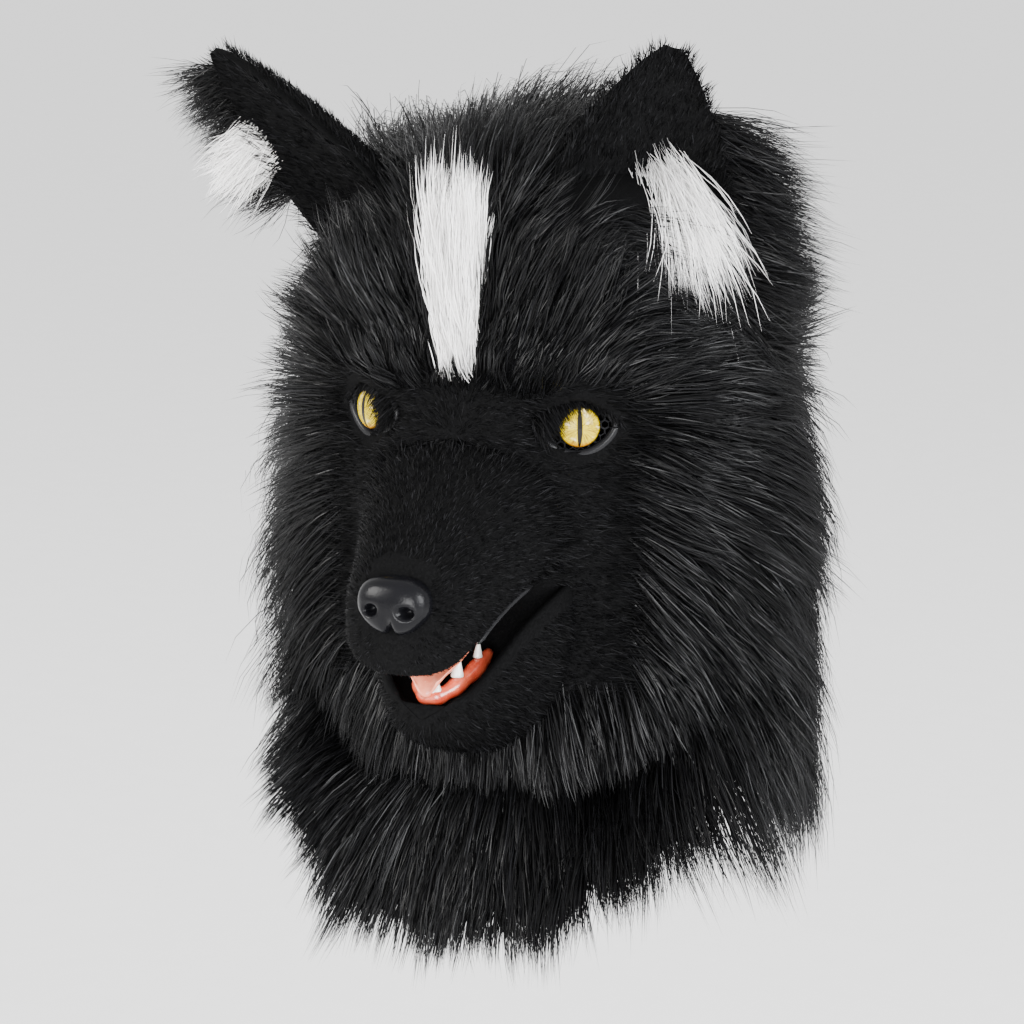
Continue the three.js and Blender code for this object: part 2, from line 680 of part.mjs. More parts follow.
// Fur patch: a backing sheet on a surface between two turns, with rows of locks. A lock that would stand in
// one of the neighbours, such as an ear, is left out.
const crowding = 0.02;
function furPatch({ surface, turns, ways, columns, lines, rows, wrapped }, neighbours, grow) {
  const turnSteps = wrapped ? ringTurns(columns) : evenly(turns[0], turns[1], columns);
  const waySteps = evenly(ways[0], ways[1], lines);
  if (grow > 0) {
    waySteps.unshift(ways[0] - grow / headHeight);
    waySteps.push(ways[1] + grow / headHeight);
    if (!wrapped) {
      turnSteps.unshift(turns[0] - 0.4 * turnGap);
      turnSteps.push(turns[1] + 0.4 * turnGap);
    }
  }
  const outer = shellGrid(surface, turnSteps, waySteps, furSeat + furBody + grow);
  const inner = shellGrid(surface, turnSteps, waySteps, furSeat - grow);
  const parts = [solidOf(slabGeometry(outer, inner, wrapped))];
  const span = wrapped ? 360 : turns[1] - turns[0];
  for (const [order, row] of rows.entries()) {
    const way = THREE.MathUtils.lerp(ways[0], ways[1], row.way);
    const stagger = order % 2 ? 0.5 : 0.0;
    for (let step = 0; step < row.count; step += 1) {
      const share = wrapped
        ? (step + stagger) / row.count
        : (step + 0.3 + 0.4 * stagger) / (row.count - 0.2);
      const turn = (wrapped ? 0 : turns[0]) + span * share;
      const root = offsetPoint(surface, turn, way, furSeat + 0.55 * furBody);
      const normal = offsetPoint(surface, turn, way, 1).sub(surface(turn, way)).normalize();
      const side = Math.sin(radians(turn));
      const comb = vector(row.comb[0] * side, row.comb[1], row.comb[2]);
      comb.addScaledVector(normal, -comb.dot(normal)).normalize();
      const direction = comb.addScaledVector(normal, row.lift);
      const wave = 1 + 0.12 * Math.sin(5.1 * step + 2.3 * order);
      const length = furLength * row.length * wave;
      const room = lockSolid(root, direction, normal, length, lockWidth, clearance);
      if (room.intersect(neighbours).volume() > crowding * room.volume()) continue;
      parts.push(lockSolid(root, direction, normal, length, lockWidth, grow));
    }
  }
  return wasm.Manifold.union(parts);
}

// Locks fused to a strip of backing along a path, for tufts, fringes and the blaze.
function lockStrip(places, stripWidth, width, grow) {
  const last = places.length - 1;
  const run = places[last].point.clone().sub(places[0].point).normalize();
  const ends = (order) => (order === last ? grow : 0) - (order === 0 ? grow : 0);
  const grid = (lift) => [-0.5, 0.5].map((edge) => places.map((spot, order) => spot.point.clone()
    .addScaledVector(spot.beside, edge * (stripWidth + 2 * grow))
    .addScaledVector(run, ends(order))
    .addScaledVector(spot.normal, lift)));
  const parts = [solidOf(slabGeometry(grid(furBacking + grow), grid(-grow), false))];
  for (const spot of places.slice(1, -1)) {
    const root = spot.point.clone().addScaledVector(spot.normal, 0.3 * furBacking);
    parts.push(lockSolid(root, spot.direction, spot.normal, spot.length, width, grow));
  }
  return wasm.Manifold.union(parts);
}

// Places of the blaze: up the middle of the forehead, over the cloth.
function blazePlaces() {
  return evenly(browLatitude - 0.01, 0.22, 6).map((latitude, order) => {
    const point = offsetPoint(headPoint, 0, latitude, furSeat);
    const normal = offsetPoint(headPoint, 0, latitude, furSeat + 1).sub(point).normalize();
    const comb = vector(0.12 * (order % 2 ? 1 : -1), 0, 1);
    comb.addScaledVector(normal, 0.3 - comb.dot(normal));
    const length = blazeLength * (0.7 + 0.06 * order);
    return { point, normal, beside: vector(1, 0, 0), direction: comb, length };
  });
}

// Places of a tuft: up the cup of the ear near its inner edge, combed across the cup.
function tuftPlaces(frame, rise) {
  return evenly(0.12, 0.66, 6).map((share, order) => ({
    point: earPoint(frame, -0.5, share, clearance),
    normal: frame.facing,
    beside: frame.across,
    direction: frame.across.clone().addScaledVector(frame.rise, rise).addScaledVector(frame.facing, 0.4),
    length: tuftLength * (1 - 0.07 * order),
  }));
}

// Places of a fringe: along the outer rim of the ear, combed out of it and up.
function fringePlaces(frame) {
  return evenly(0.1, 0.82, 7).map((share) => {
    const run = earPoint(frame, 1, share + 0.05, 0).sub(earPoint(frame, 1, share - 0.05, 0)).normalize();
    const normal = frame.across.clone().addScaledVector(run, -frame.across.dot(run)).normalize();
    return {
      point: earPoint(frame, 1, share, -0.5 * earWall).addScaledVector(normal, 2 * clearance),
      normal,
      beside: frame.facing,
      direction: normal.clone().addScaledVector(frame.rise, 0.7),
      length: fringeLength * (0.8 + 0.25 * share),
    };
  });
}

// Nose pad: a rounded block with a cleft below, seated on the end of the muzzle.
const noseMiddle = -muzzleLength + 0.1 * noseDepth;
function nosePoint(turn, rise) {
  const around = radians(turn);
  const level = radians(rise);
  const power = (value, share) => Math.sign(value) * Math.abs(value) ** share;
  const x = 0.5 * noseWidth * power(Math.cos(level), 0.75) * power(Math.sin(around), 0.85);
  const y = -0.5 * noseDepth * power(Math.cos(level), 0.75) * power(Math.cos(around), 0.85);
  const z = 0.5 * noseHeight * power(Math.sin(level), 0.8);
  const low = THREE.MathUtils.smoothstep(-z / noseHeight, 0, 0.5);
  const narrow = 1 - 0.22 * low;
  const cleft = 0.1 * noseHeight * low * Math.exp(-((x / (0.07 * noseWidth)) ** 2));
  return vector(x * narrow, noseMiddle + y + cleft, -noseDrop + z + cleft);
}
function noseSolid(grow) {
  const rings = evenly(-78, 78, 9).map((rise) => ringTurns(20).map((turn) => {
    const point = nosePoint(turn, rise);
    const spread = vector(point.x, point.y - noseMiddle, point.z + noseDrop).normalize();
    return point.addScaledVector(spread, grow);
  }));
  return solidOf(loftRings(rings));
}
function nostril(side) {
  const geometry = new THREE.SphereGeometry(nostrilSize / 2, 10, 8);
  geometry.scale(1, 1.6, 0.9);
  geometry.rotateZ(side * radians(24));
  geometry.translate(side * nostrilSpan / 2, noseMiddle - 0.42 * noseDepth, -noseDrop - 0.06 * noseHeight);
  return solidOf(geometry);
}

// Lip strip: a smooth cord along the rear half of an upper lip.
function lipStrip(side, grow) {
  const points = [0.6, 0.68, 0.76, 0.84].map((reach) => {
    const ring = muzzleSection(reach, 0);
    const edge = ring[Math.round(muzzleColumns * (side > 0 ? 0.36 : 0.64))];
    return vector(edge.x + side * 0.8 * lipTube, edge.y, edge.z - 0.8 * lipTube);
  });
  return solidOf(tubeAlong(points, lipTube + grow, 6, false));
}

// Gums: a tube bent along the arch of the lower teeth, laid on the mouth's floor.
function archPoint(share, drop) {
  const angle = Math.PI * (share - 0.5);
  const depth = gumFront + gumWidth * 1.35 * (1 - Math.cos(angle));
  return vector(0.52 * gumWidth * Math.sin(angle), depth, -drop + gumRise * (depth - gumFront));
}
function gumSolid(grow) {
  const arch = evenly(0, 1, 9).map((share) => archPoint(share, gumDrop));
  return solidOf(tubeAlong(arch, gumTube + grow, 16, false));
}

// Tongue: a thin sheet curled up at its sides, between the teeth.
function tonguePoint(across, way, lift) {
  const blunt = Math.sqrt(1 - (1 - Math.min(way * 3, 1)) ** 2);
  const half = 0.5 * tongueWidth * blunt + 0.5;
  const depth = gumFront - 1.5 + way * (-0.66 * jawLength - gumFront);
  const curl = 0.3 * tongueWidth * across * across;
  return vector(half * across, depth, -gumDrop + gumTube + 2.4 + curl + gumRise * (depth - gumFront) + lift);
}
function tongueSolid(grow) {
  const grid = (lift) => evenly(0, 1, 7).map((way) =>
    evenly(-1, 1, 5).map((across) => tonguePoint(across, way, lift)));
  return solidOf(slabGeometry(grid(tongueThickness + grow), grid(-grow), false));
}

// Tooth: a pointed peg on the gums. Share is the place along the arch from right (0) to left (1).
const toothProfile = [[0, 0], [0.5, 0], [0.46, 0.35], [0.3, 0.7], [0.12, 0.95], [0, 1]];
function toothSolid(share, width, height, grow) {
  const foot = archPoint(share, gumDrop - gumTube - clearance);
  const geometry = new THREE.LatheGeometry(
    toothProfile.map(([radius, rise]) =>
      new THREE.Vector2(radius * (width + 2 * grow), rise * (height + 2 * grow))),
    7,
  );
  geometry.rotateX(Math.PI / 2);
  geometry.translate(foot.x, foot.y, foot.z - grow);
  return solidOf(geometry);
}
function incisorSolid(grow) {
  let row = null;
  for (const share of [0.41, 0.47, 0.53, 0.59]) {
    const one = toothSolid(share, incisorWidth * 1.35, incisorHeight, grow);
    row = row ? row.add(one) : one;
  }
  return row;
}

// The pieces. Each is cut by the claimed space of the pieces before it, which is grown by the clearance.
let claimed = headSolid(clearance);
function place(name, build, look) {
  const solid = build(0).subtract(claimed);
  addPiece(name, largestBody(solid), look);
  claimed = claimed.add(build(clearance));
}

const eyes = [1, -1].map((side) => ({ side, name: side > 0 ? 'left' : 'right', frame: eyeFrame(side) }));
const ears = earPoses.map((pose) => {
  const name = pose.side > 0 ? 'left' : 'right';
  return { ...pose, name, frame: earFrame(pose) };
});

// Hood shell: padded cloth with the eye openings and the way into the muzzle cut through it.
const hollowRings = shellGrid(headToSeam, ringTurns(headColumns), headWays.slice(1), -hoodWall);
const hollowEnd = hollowRings.at(-1).map((point) => point.clone().setZ(point.z - 10 * hoodWall));
const hollowTop = hollowRings[0].map(() => vector(0, 0, 0));
let shell = headSolid(0).subtract(solidOf(loftRings([hollowTop, ...hollowRings, hollowEnd])));
for (const eye of eyes) {
  shell = shell.subtract(solidOf(lidPrism(eye.frame, lidTube, -7 * hoodWall, 3 * hoodWall)));
}
addPiece('hood_shell', largestBody(shell.subtract(muzzleHollow())), blackFur);

// Eyes: a domed eye on a sheet of mesh that closes the opening, inside a moulded lid.
for (const { frame, name } of eyes) {
  const mesh = lidPrism(frame, lidTube + clearance, eyeSeat - meshThickness, eyeSeat);
  addPiece(`eye_mesh_${name}`, mesh, meshCloth);
  addPiece(`eye_${name}`, eyeGeometry(frame), irisYellow);
}
for (const { frame, name } of eyes) {
  place(`eye_rim_${name}`, (grow) => lidSolid(frame, grow).subtract(muzzleOuter(clearance)), lidVinyl);
}

// Muzzle and lower jaw stand on the face cloth, and the muzzle opens into the head.
const muzzleShell = (grow) => (grow > 0 ? muzzleOuter(grow) : muzzleOuter(0).subtract(muzzleHollow()));
place('muzzle', muzzleShell, shortPile);
place('nose_pad', (grow) => noseSolid(grow).subtract(nostril(1)).subtract(nostril(-1)), noseVinyl);
place('lower_jaw', jawSolid, shortPile);
for (const { side, name } of eyes) place(`lip_edge_${name}`, (grow) => lipStrip(side, grow), lidVinyl);
place('gums', gumSolid, gumRed);
place('incisors', incisorSolid, toothWhite);
for (const [name, share] of [['left', 0.74], ['right', 0.26]]) {
  place(`canine_${name}`, (grow) => toothSolid(share, canineWidth, canineHeight, grow), toothWhite);
}
for (const [name, share] of [['left', 0.9], ['right', 0.1]]) {
  place(`premolar_${name}`, (grow) => toothSolid(share, premolarWidth, premolarHeight, grow), toothWhite);
}
place('tongue', tongueSolid, tonguePink);

// Ears, cut off where they stand on the head.
for (const { frame, name, tuftRise } of ears) {
  place(`ear_${name}`, (grow) => earSolid(frame, grow), shortPile);
  place(`ear_tuft_${name}`, (grow) => lockStrip(tuftPlaces(frame, tuftRise), 14, 20, grow), whiteFur);
  place(`ear_fringe_${name}`, (grow) => lockStrip(fringePlaces(frame), earWall, 20, grow), blackFur);
}
place('forehead_blaze', (grow) => lockStrip(blazePlaces(), blazeWidth, blazeWidth, grow), whiteFur);

// Neck skirt: a tube of cloth that hangs from the head's lower edge.
function skirtSolid(grow) {
  const ways = evenly(0, 1, 4);
  if (grow > 0) {
    ways.unshift(-grow / hoodWall);
    ways.push(1 + grow / hoodWall);
  }
  const grid = (offset) => shellGrid(neckPoint, ringTurns(headColumns), ways, offset);
  return solidOf(slabGeometry(grid(grow), grid(-hoodWall - grow), true));
}
place('neck_skirt', skirtSolid, blackFur);

// Long fur of the head and neck.
const headPatch = (turn, way) => {
  const bottom = seamLatitude(turn);
  return headPoint(turn, THREE.MathUtils.lerp(crownLatitude, bottom, way));
};
const crownPatch = (turn, way) => headPoint(turn, way * crownLatitude);
const foreheadPatch = (turn, way) =>
  headPoint(turn, THREE.MathUtils.lerp(crownLatitude, browLatitude, way));
const throatPatch = (turn, way) => headPoint(turn, THREE.MathUtils.lerp(throatLatitude, 1, way));
const edge = patchGap / headHeight;
const patches = [
  { name: 'crown_fur', surface: crownPatch, turns: [0, 360], ways: [0.07, 1 - 3 * edge],
    columns: 20, lines: 7, rows: crownRows, wrapped: true },
  { name: 'forehead_fur', surface: foreheadPatch, turns: [-faceTurn, faceTurn], ways: [3 * edge, 1],
    columns: 7, lines: 3, rows: foreheadRows },
  { name: 'cheek_fur_left', surface: headPatch, turns: [faceTurn + turnGap, napeTurn - turnGap],
    ways: [edge, 1 - edge], columns: 8, lines: 7, rows: cheekRows },
  { name: 'cheek_fur_right', surface: headPatch, turns: [-napeTurn + turnGap, -faceTurn - turnGap],
    ways: [edge, 1 - edge], columns: 8, lines: 7, rows: cheekRows },
  { name: 'back_fur', surface: headPatch, turns: [napeTurn + turnGap, 360 - napeTurn - turnGap],
    ways: [edge, 1 - edge], columns: 9, lines: 5, rows: backRows },
  { name: 'throat_fur', surface: throatPatch, turns: [-faceTurn, faceTurn], ways: [0, 1 - 20 * edge],
    columns: 7, lines: 3, rows: throatRows },
  { name: 'bib_fur', surface: neckPoint, turns: [-60, 60], ways: [2 * edge, 1],
    columns: 9, lines: 4, rows: bibRows },
  { name: 'neck_fur_left', surface: neckPoint, turns: [60 + turnGap, napeTurn - turnGap],
    ways: [2 * edge, 1], columns: 6, lines: 4, rows: neckSideRows },
  { name: 'neck_fur_right', surface: neckPoint, turns: [-napeTurn + turnGap, -60 - turnGap],
    ways: [2 * edge, 1], columns: 6, lines: 4, rows: neckSideRows },
  { name: 'neck_fur_back', surface: neckPoint, turns: [napeTurn + turnGap, 360 - napeTurn - turnGap],
    ways: [2 * edge, 1], columns: 8, lines: 4, rows: neckBackRows },
];
for (const patch of patches) {
  const neighbours = claimed;
  place(patch.name, (grow) => furPatch(patch, neighbours, grow), blackFur);
}

export default hood;
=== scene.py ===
import bmesh
import bpy
import numpy as np
from mathutils import Matrix


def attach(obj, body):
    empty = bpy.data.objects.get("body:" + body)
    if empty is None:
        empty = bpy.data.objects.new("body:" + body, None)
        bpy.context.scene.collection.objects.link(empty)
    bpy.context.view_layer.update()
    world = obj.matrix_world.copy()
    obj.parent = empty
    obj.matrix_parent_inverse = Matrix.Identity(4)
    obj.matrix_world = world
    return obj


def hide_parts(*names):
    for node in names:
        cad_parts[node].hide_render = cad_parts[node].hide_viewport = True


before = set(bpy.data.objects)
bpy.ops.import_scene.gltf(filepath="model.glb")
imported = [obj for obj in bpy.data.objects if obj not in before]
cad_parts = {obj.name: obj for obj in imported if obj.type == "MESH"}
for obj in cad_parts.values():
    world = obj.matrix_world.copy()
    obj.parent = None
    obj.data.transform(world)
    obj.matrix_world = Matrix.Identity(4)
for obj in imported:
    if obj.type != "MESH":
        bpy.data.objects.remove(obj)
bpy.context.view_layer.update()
rng = np.random.default_rng(7)
mm = 0.001

# Camera at the photo's angle. Lengths are in millimetres, here and below.
cameraSetup = {
    "azimuth": 25.0,
    "elevation": 12.0,
    "distance": 2000,
    "pixel": 0.48,  # length that one pixel shows at the head's axis
    "pixels": 1024,
    "sensor": 36.0,
    "axisPixel": (538, 390),  # where the head's axis shows at the height of the eyes
    "eyeDrop": 112,
}


def dot(first, second):
    return (first * second).sum(-1, keepdims=True)


def unit(vectors):
    return vectors / np.maximum(np.linalg.norm(vectors, axis=-1, keepdims=True), 1e-9)


def addObject(name, data, axes=np.eye(3), place=(0, 0, 0)):
    # object whose own axes are the rows of axes
    made = bpy.data.objects.new(name, data)
    made.matrix_world = Matrix([[*axes[:, i], place[i] * mm] for i in range(3)] + [[0, 0, 0, 1]])
    bpy.context.scene.collection.objects.link(made)
    return made


def viewAxes(back):
    # right and up of a view, and the way back from its aim
    right = unit(np.cross([0, 0, 1.0], back))
    return np.array([right, np.cross(back, right), back])


def placeCamera(setup):
    azimuth, elevation = np.radians(setup["azimuth"]), np.radians(setup["elevation"])
    level = np.cos(elevation)
    axes = viewAxes([np.sin(azimuth) * level, -np.cos(azimuth) * level, np.sin(elevation)])
    right, up, back = axes
    shift = np.array(setup["axisPixel"]) - setup["pixels"] / 2
    aim = np.array([0.0, 0.0, -setup["eyeDrop"]]) + (up * shift[1] - right * shift[0]) * setup["pixel"]
    data = bpy.data.cameras.new("camera")
    data.sensor_width = setup["sensor"]
    data.lens = setup["distance"] / setup["pixel"] * setup["sensor"] / setup["pixels"]
    bpy.context.scene.camera = addObject("camera", data, axes, aim + back * setup["distance"])


placeCamera(cameraSetup)
print("camera placed")

# Sizes of the hood. The face looks along -Y, and +X is the wearer's left.
hood = {
    "wall": 4,
    "headHeight": 286,
    "headWidth": 220,
    "foreheadDepth": 88,
    "napeDepth": 115,
    "bibDrop": 338,
    "sideHemDrop": 266,
    "backHemDrop": 292,
    "hemWidth": 226,
    "eyeSpan": 106,
    "eyeDrop": 113,
}
headSections = np.array([  # latitude, drop, front, back, side
    (0.0, 0.0, 0.0, 0.0, 0.0),
    (0.1, 0.01, 0.4, 0.38, 0.38),
    (0.2, 0.042, 0.71, 0.68, 0.69),
    (0.3, 0.105, 0.9, 0.86, 0.87),
    (0.4, 0.203, 0.98, 0.94, 0.945),
    (0.5, 0.322, 1.0, 0.98, 0.98),
    (0.58, 0.413, 0.95, 1.0, 1.0),
    (0.68, 0.531, 0.885, 1.0, 1.02),
    (0.78, 0.664, 0.865, 0.99, 1.03),
    (0.88, 0.797, 0.885, 0.955, 0.985),
    (0.95, 0.902, 0.895, 0.9, 0.93),
    (1.0, 1.0, 0.86, 0.84, 0.85),
])
neckSeam = np.array([(0, 1.0), (50, 0.985), (75, 0.88), (98, 0.77), (180, 0.745)])  # turn, latitude
hemSections = np.array([  # turn, fall, radius
    (0, 1.0, 0.87),
    (22, 0.82, 0.89),
    (48, 0.42, 0.95),
    (80, 0.0, 1.0),
    (115, 0.25, 1.0),
    (180, 1.0, 0.98),
])
faceRelief = np.array([  # across, drop, wide, tall, push
    (0.72, 0.84, 0.55, 0.2, 0.075),
    (1.0, 1.01, 0.36, 0.24, -0.07),
    (1.35, 1.32, 0.55, 0.45, 0.05),
    (0.0, 1.34, 0.8, 0.55, 0.1),
])


def curveAt(table, column, at):
    # cubic through a column of the table, each row's slope taken from its two neighbours
    keys, values = table[:, 0], table[:, column]
    last = len(keys) - 1
    before, after = np.clip(np.arange(last + 1) - 1, 0, last), np.clip(np.arange(last + 1) + 1, 0, last)
    slopes = (values[after] - values[before]) / (keys[after] - keys[before])
    row = np.clip(np.searchsorted(keys, at) - 1, 0, last - 1)
    span = keys[row + 1] - keys[row]
    s = np.clip((at - keys[row]) / span, 0, 1)
    return ((2 * s**3 - 3 * s**2 + 1) * values[row] + (s**3 - 2 * s**2 + s) * span * slopes[row]
            + (3 * s**2 - 2 * s**3) * values[row + 1] + (s**3 - s**2) * span * slopes[row + 1])


def smooth(value, low, high):
    # 3s^2 - 2s^3, with s the share of the way from low to high
    s = np.clip((value - low) / (high - low), 0, 1)
    return s * s * (3 - 2 * s)


def power(value, exponent):
    # sgn(v) |v|^p
    return np.sign(value) * np.abs(value) ** exponent


def folded(turn):
    # turn from 0 at the face to 180 at the back
    wrapped = np.mod(turn, 360)
    return np.minimum(wrapped, 360 - wrapped)


def turnsAround(count, whole=2 * np.pi):
    return np.linspace(0, whole, count, endpoint=False)


def stack(x, y, z):
    return np.stack(np.broadcast_arrays(x, y, z), -1).astype(float)


def reliefPush(x, z):
    # sum of push * exp(-(x/wide)^2 - (z/tall)^2)
    half = hood["eyeSpan"] / 2
    total = 0
    for across, drop, wide, tall, push in faceRelief:
        total = total + push * hood["foreheadDepth"] * np.exp(
            -(((np.abs(x) - across * half) / (wide * half)) ** 2)
            - ((-z - drop * hood["eyeDrop"]) / (tall * half)) ** 2)
    return total


def headPoint(turn, latitude):
    # (side sin t, -front cos t - relief or -back cos t, top - height drop), widths from the sections
    angle = np.radians(turn)
    forward = np.cos(angle)
    z = hood["wall"] - hood["headHeight"] * curveAt(headSections, 1, latitude)
    front = hood["foreheadDepth"] * curveAt(headSections, 2, latitude)
    back = hood["napeDepth"] * curveAt(headSections, 3, latitude)
    x = 0.5 * hood["headWidth"] * curveAt(headSections, 4, latitude) * np.sin(angle)
    push = reliefPush(x, z) * smooth(forward, 0, 0.5)
    return stack(x, np.where(forward > 0, -front * forward - push, -back * forward), z)


rootBlend = {  # oval of the muzzle's root, and the cloth's rise toward it
    "half": 50,
    "tall": 38,
    "drop": 155,
    "power": 2.2,
    "push": 8,
    "reach": 10,
    "reachAbove": 9,
    "above": (-150, -122),
    "middle": (38, 20),
    "front": -30,
}


def clothPoint(turn, latitude):
    # head point in front pushed out by push exp(-(d/reach)^2), with d the distance outside the muzzle's
    # root and a wider reach above its middle
    point = headPoint(turn, latitude)
    x, y, z = np.abs(point[..., 0]), point[..., 1], point[..., 2]
    half, exponent = rootBlend["half"], rootBlend["power"]
    above = smooth(z, *rootBlend["above"]) * smooth(x, *rootBlend["middle"])
    reach = rootBlend["reach"] + rootBlend["reachAbove"] * above
    ring = (x / half) ** exponent + (np.abs(z + rootBlend["drop"]) / rootBlend["tall"]) ** exponent
    away = half * np.maximum(ring ** (1 / exponent) - 1, 0)
    point[..., 1] = y - rootBlend["push"] * np.exp(-((away / reach) ** 2)) * (y < rootBlend["front"])
    return point


def headToSeam(turn, way):
    return clothPoint(turn, way * curveAt(neckSeam, 1, folded(turn)))


def neckPoint(turn, way):
    # seam + way (hem - seam)
    away, angle = folded(turn), np.radians(turn)
    seam = headPoint(turn, curveAt(neckSeam, 1, away))
    lowest = np.where(away < 80, hood["bibDrop"], hood["backHemDrop"])
    drop = hood["sideHemDrop"] + (lowest - hood["sideHemDrop"]) * curveAt(hemSections, 1, away)
    radius = 0.5 * hood["hemWidth"] * curveAt(hemSections, 2, away)
    hem = stack(radius * np.sin(angle), -radius * np.cos(angle), hood["wall"] - drop)
    return seam + (hem - seam) * np.asarray(way)[..., None]


def normalOf(surface, u, v, stepU=0.5, stepV=0.003):
    # cross product of the surface's two central differences
    low = np.maximum(v - stepV, 0.004)
    across = surface(u + stepU, v) - surface(u - stepU, v)
    down = surface(u, low + 2 * stepV) - surface(u, low)
    return unit(np.cross(down, across))


latitudeSteps = np.linspace(0, 1, 400)
dropSteps = hood["headHeight"] * curveAt(headSections, 1, latitudeSteps) - hood["wall"]


def onFace(x, z):
    # face point whose x and z are given: latitude from z, then turn from x
    latitude = np.interp(-np.asarray(z, float), dropSteps, latitudeSteps)
    side = 0.5 * hood["headWidth"] * curveAt(headSections, 4, latitude)
    return headPoint(np.degrees(np.arcsin(np.clip(x / side, -1, 1))), latitude)


# Meshes
def addPiece(name, vertices, faceSets, material, replaced, slotName, uvs=None, smoothed=True):
    mesh = bpy.data.meshes.new(name)
    vertices = np.asarray(vertices, float).reshape(-1, 3) * mm
    corners = np.concatenate([faces.ravel() for faces in faceSets]).astype(np.int32)
    sizes = np.concatenate([np.full(len(faces), faces.shape[1]) for faces in faceSets])
    mesh.vertices.add(len(vertices))
    mesh.vertices.foreach_set("co", vertices.ravel())
    mesh.loops.add(len(corners))
    mesh.loops.foreach_set("vertex_index", corners)
    mesh.polygons.add(len(sizes))
    mesh.polygons.foreach_set("loop_start", (np.cumsum(sizes) - sizes).astype(np.int32))
    mesh.update(calc_edges=True)
    if uvs is not None:
        layer = mesh.uv_layers.new(name="OFBake")
        layer.data.foreach_set("uv", np.asarray(uvs, float).reshape(-1, 2)[corners].ravel())
    mesh.polygons.foreach_set("use_smooth", np.full(len(sizes), smoothed))
    mesh.materials.append(material)
    piece = addObject(name, mesh)
    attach(piece, "root")
    if replaced:
        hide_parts(*replaced)
    return mesh


def addSolid(name, shape, material, node, slotName, uvs=None, smoothed=True):
    # closed piece, its faces turned outward
    mesh = addPiece(name, *shape, material, [node], slotName, uvs, smoothed)
    work = bmesh.new()
    work.from_mesh(mesh)
    bmesh.ops.recalc_face_normals(work, faces=work.faces)
    work.to_mesh(mesh)
    work.free()


def gridFaces(rows, columns, wrapped=True, closed=False):
    # quads between the neighbours of a grid, whose columns may wrap around and whose rows may close up
    lastRow, lastColumn = rows - (not closed), columns - (not wrapped)
    row, column = np.meshgrid(np.arange(lastRow), np.arange(lastColumn), indexing="ij")
    here, after, beside = row * columns, (row + 1) % rows * columns, (column + 1) % columns
    return np.stack([here + column, here + beside, after + beside, after + column], -1).reshape(-1, 4)


def wallMesh(outer, inner, faceSets):
    # two copies of a surface, with quads along the edges that only one face has
    outer, inner = outer.reshape(-1, 3), inner.reshape(-1, 3)
    layer = len(outer)
    edges = [np.stack([faces, np.roll(faces, -1, 1)], -1).reshape(-1, 2) for faces in faceSets]
    edges = np.concatenate(edges)
    forward, backward = edges[:, 0] * layer + edges[:, 1], edges[:, 1] * layer + edges[:, 0]
    rim = edges[~np.isin(forward, backward)]
    rimFaces = np.stack([rim[:, 1], rim[:, 0], rim[:, 0] + layer, rim[:, 1] + layer], -1)
    turned = [faces[:, ::-1] + layer for faces in faceSets]
    return np.concatenate([outer, inner]), [*faceSets, *turned, rimFaces]


def tubeMesh(rings):
    # rings of points along a path, with a fan over each end
    rows, columns = rings.shape[:2]
    points = rings.reshape(-1, 3)
    step = np.arange(columns)
    after = (step + 1) % columns
    last = (rows - 1) * columns
    fans = [np.stack([np.full(columns, len(points)), after, step], -1),
            np.stack([np.full(columns, len(points) + 1), last + step, last + after], -1)]
    vertices = np.concatenate([points, rings[:1].mean(1), rings[-1:].mean(1)])
    return vertices, [gridFaces(rows, columns), np.concatenate(fans)]


def pathRings(path, radius, columns, closed=False):
    # circle of the given radius about each point of a path, square to it
    ahead, behind = np.roll(path, -1, 0), np.roll(path, 1, 0)
    if not closed:
        ahead[-1], behind[0] = path[-1], path[0]
    along = unit(ahead - behind)
    beside = unit(np.cross(along, [0.13, 0.1, 1.0]))
    above = np.cross(beside, along)
    angle = turnsAround(columns)[:, None]
    radius = np.broadcast_to(radius, len(path))[:, None, None]
    return path[:, None] + radius * (np.cos(angle) * beside[:, None] + np.sin(angle) * above[:, None])


# Shaders
class Wire:
    # a socket that takes part in arithmetic
    def __init__(self, shader, socket):
        self.shader, self.socket = shader, socket

    def math(self, operation, *others):
        values = dict(enumerate((self, *others)))
        return self.shader.node("ShaderNodeMath", {"operation": operation}, values)

    def __add__(self, other):
        return self.math("ADD", other)

    def __mul__(self, other):
        return self.math("MULTIPLY", other)

    def __sub__(self, other):
        return self.math("SUBTRACT", other)

    def __rsub__(self, other):
        return self * -1.0 + other

    def __truediv__(self, other):
        return self.math("DIVIDE", other)

    def __pow__(self, other):
        return self.math("POWER", other)

    __radd__ = __add__
    __rmul__ = __mul__


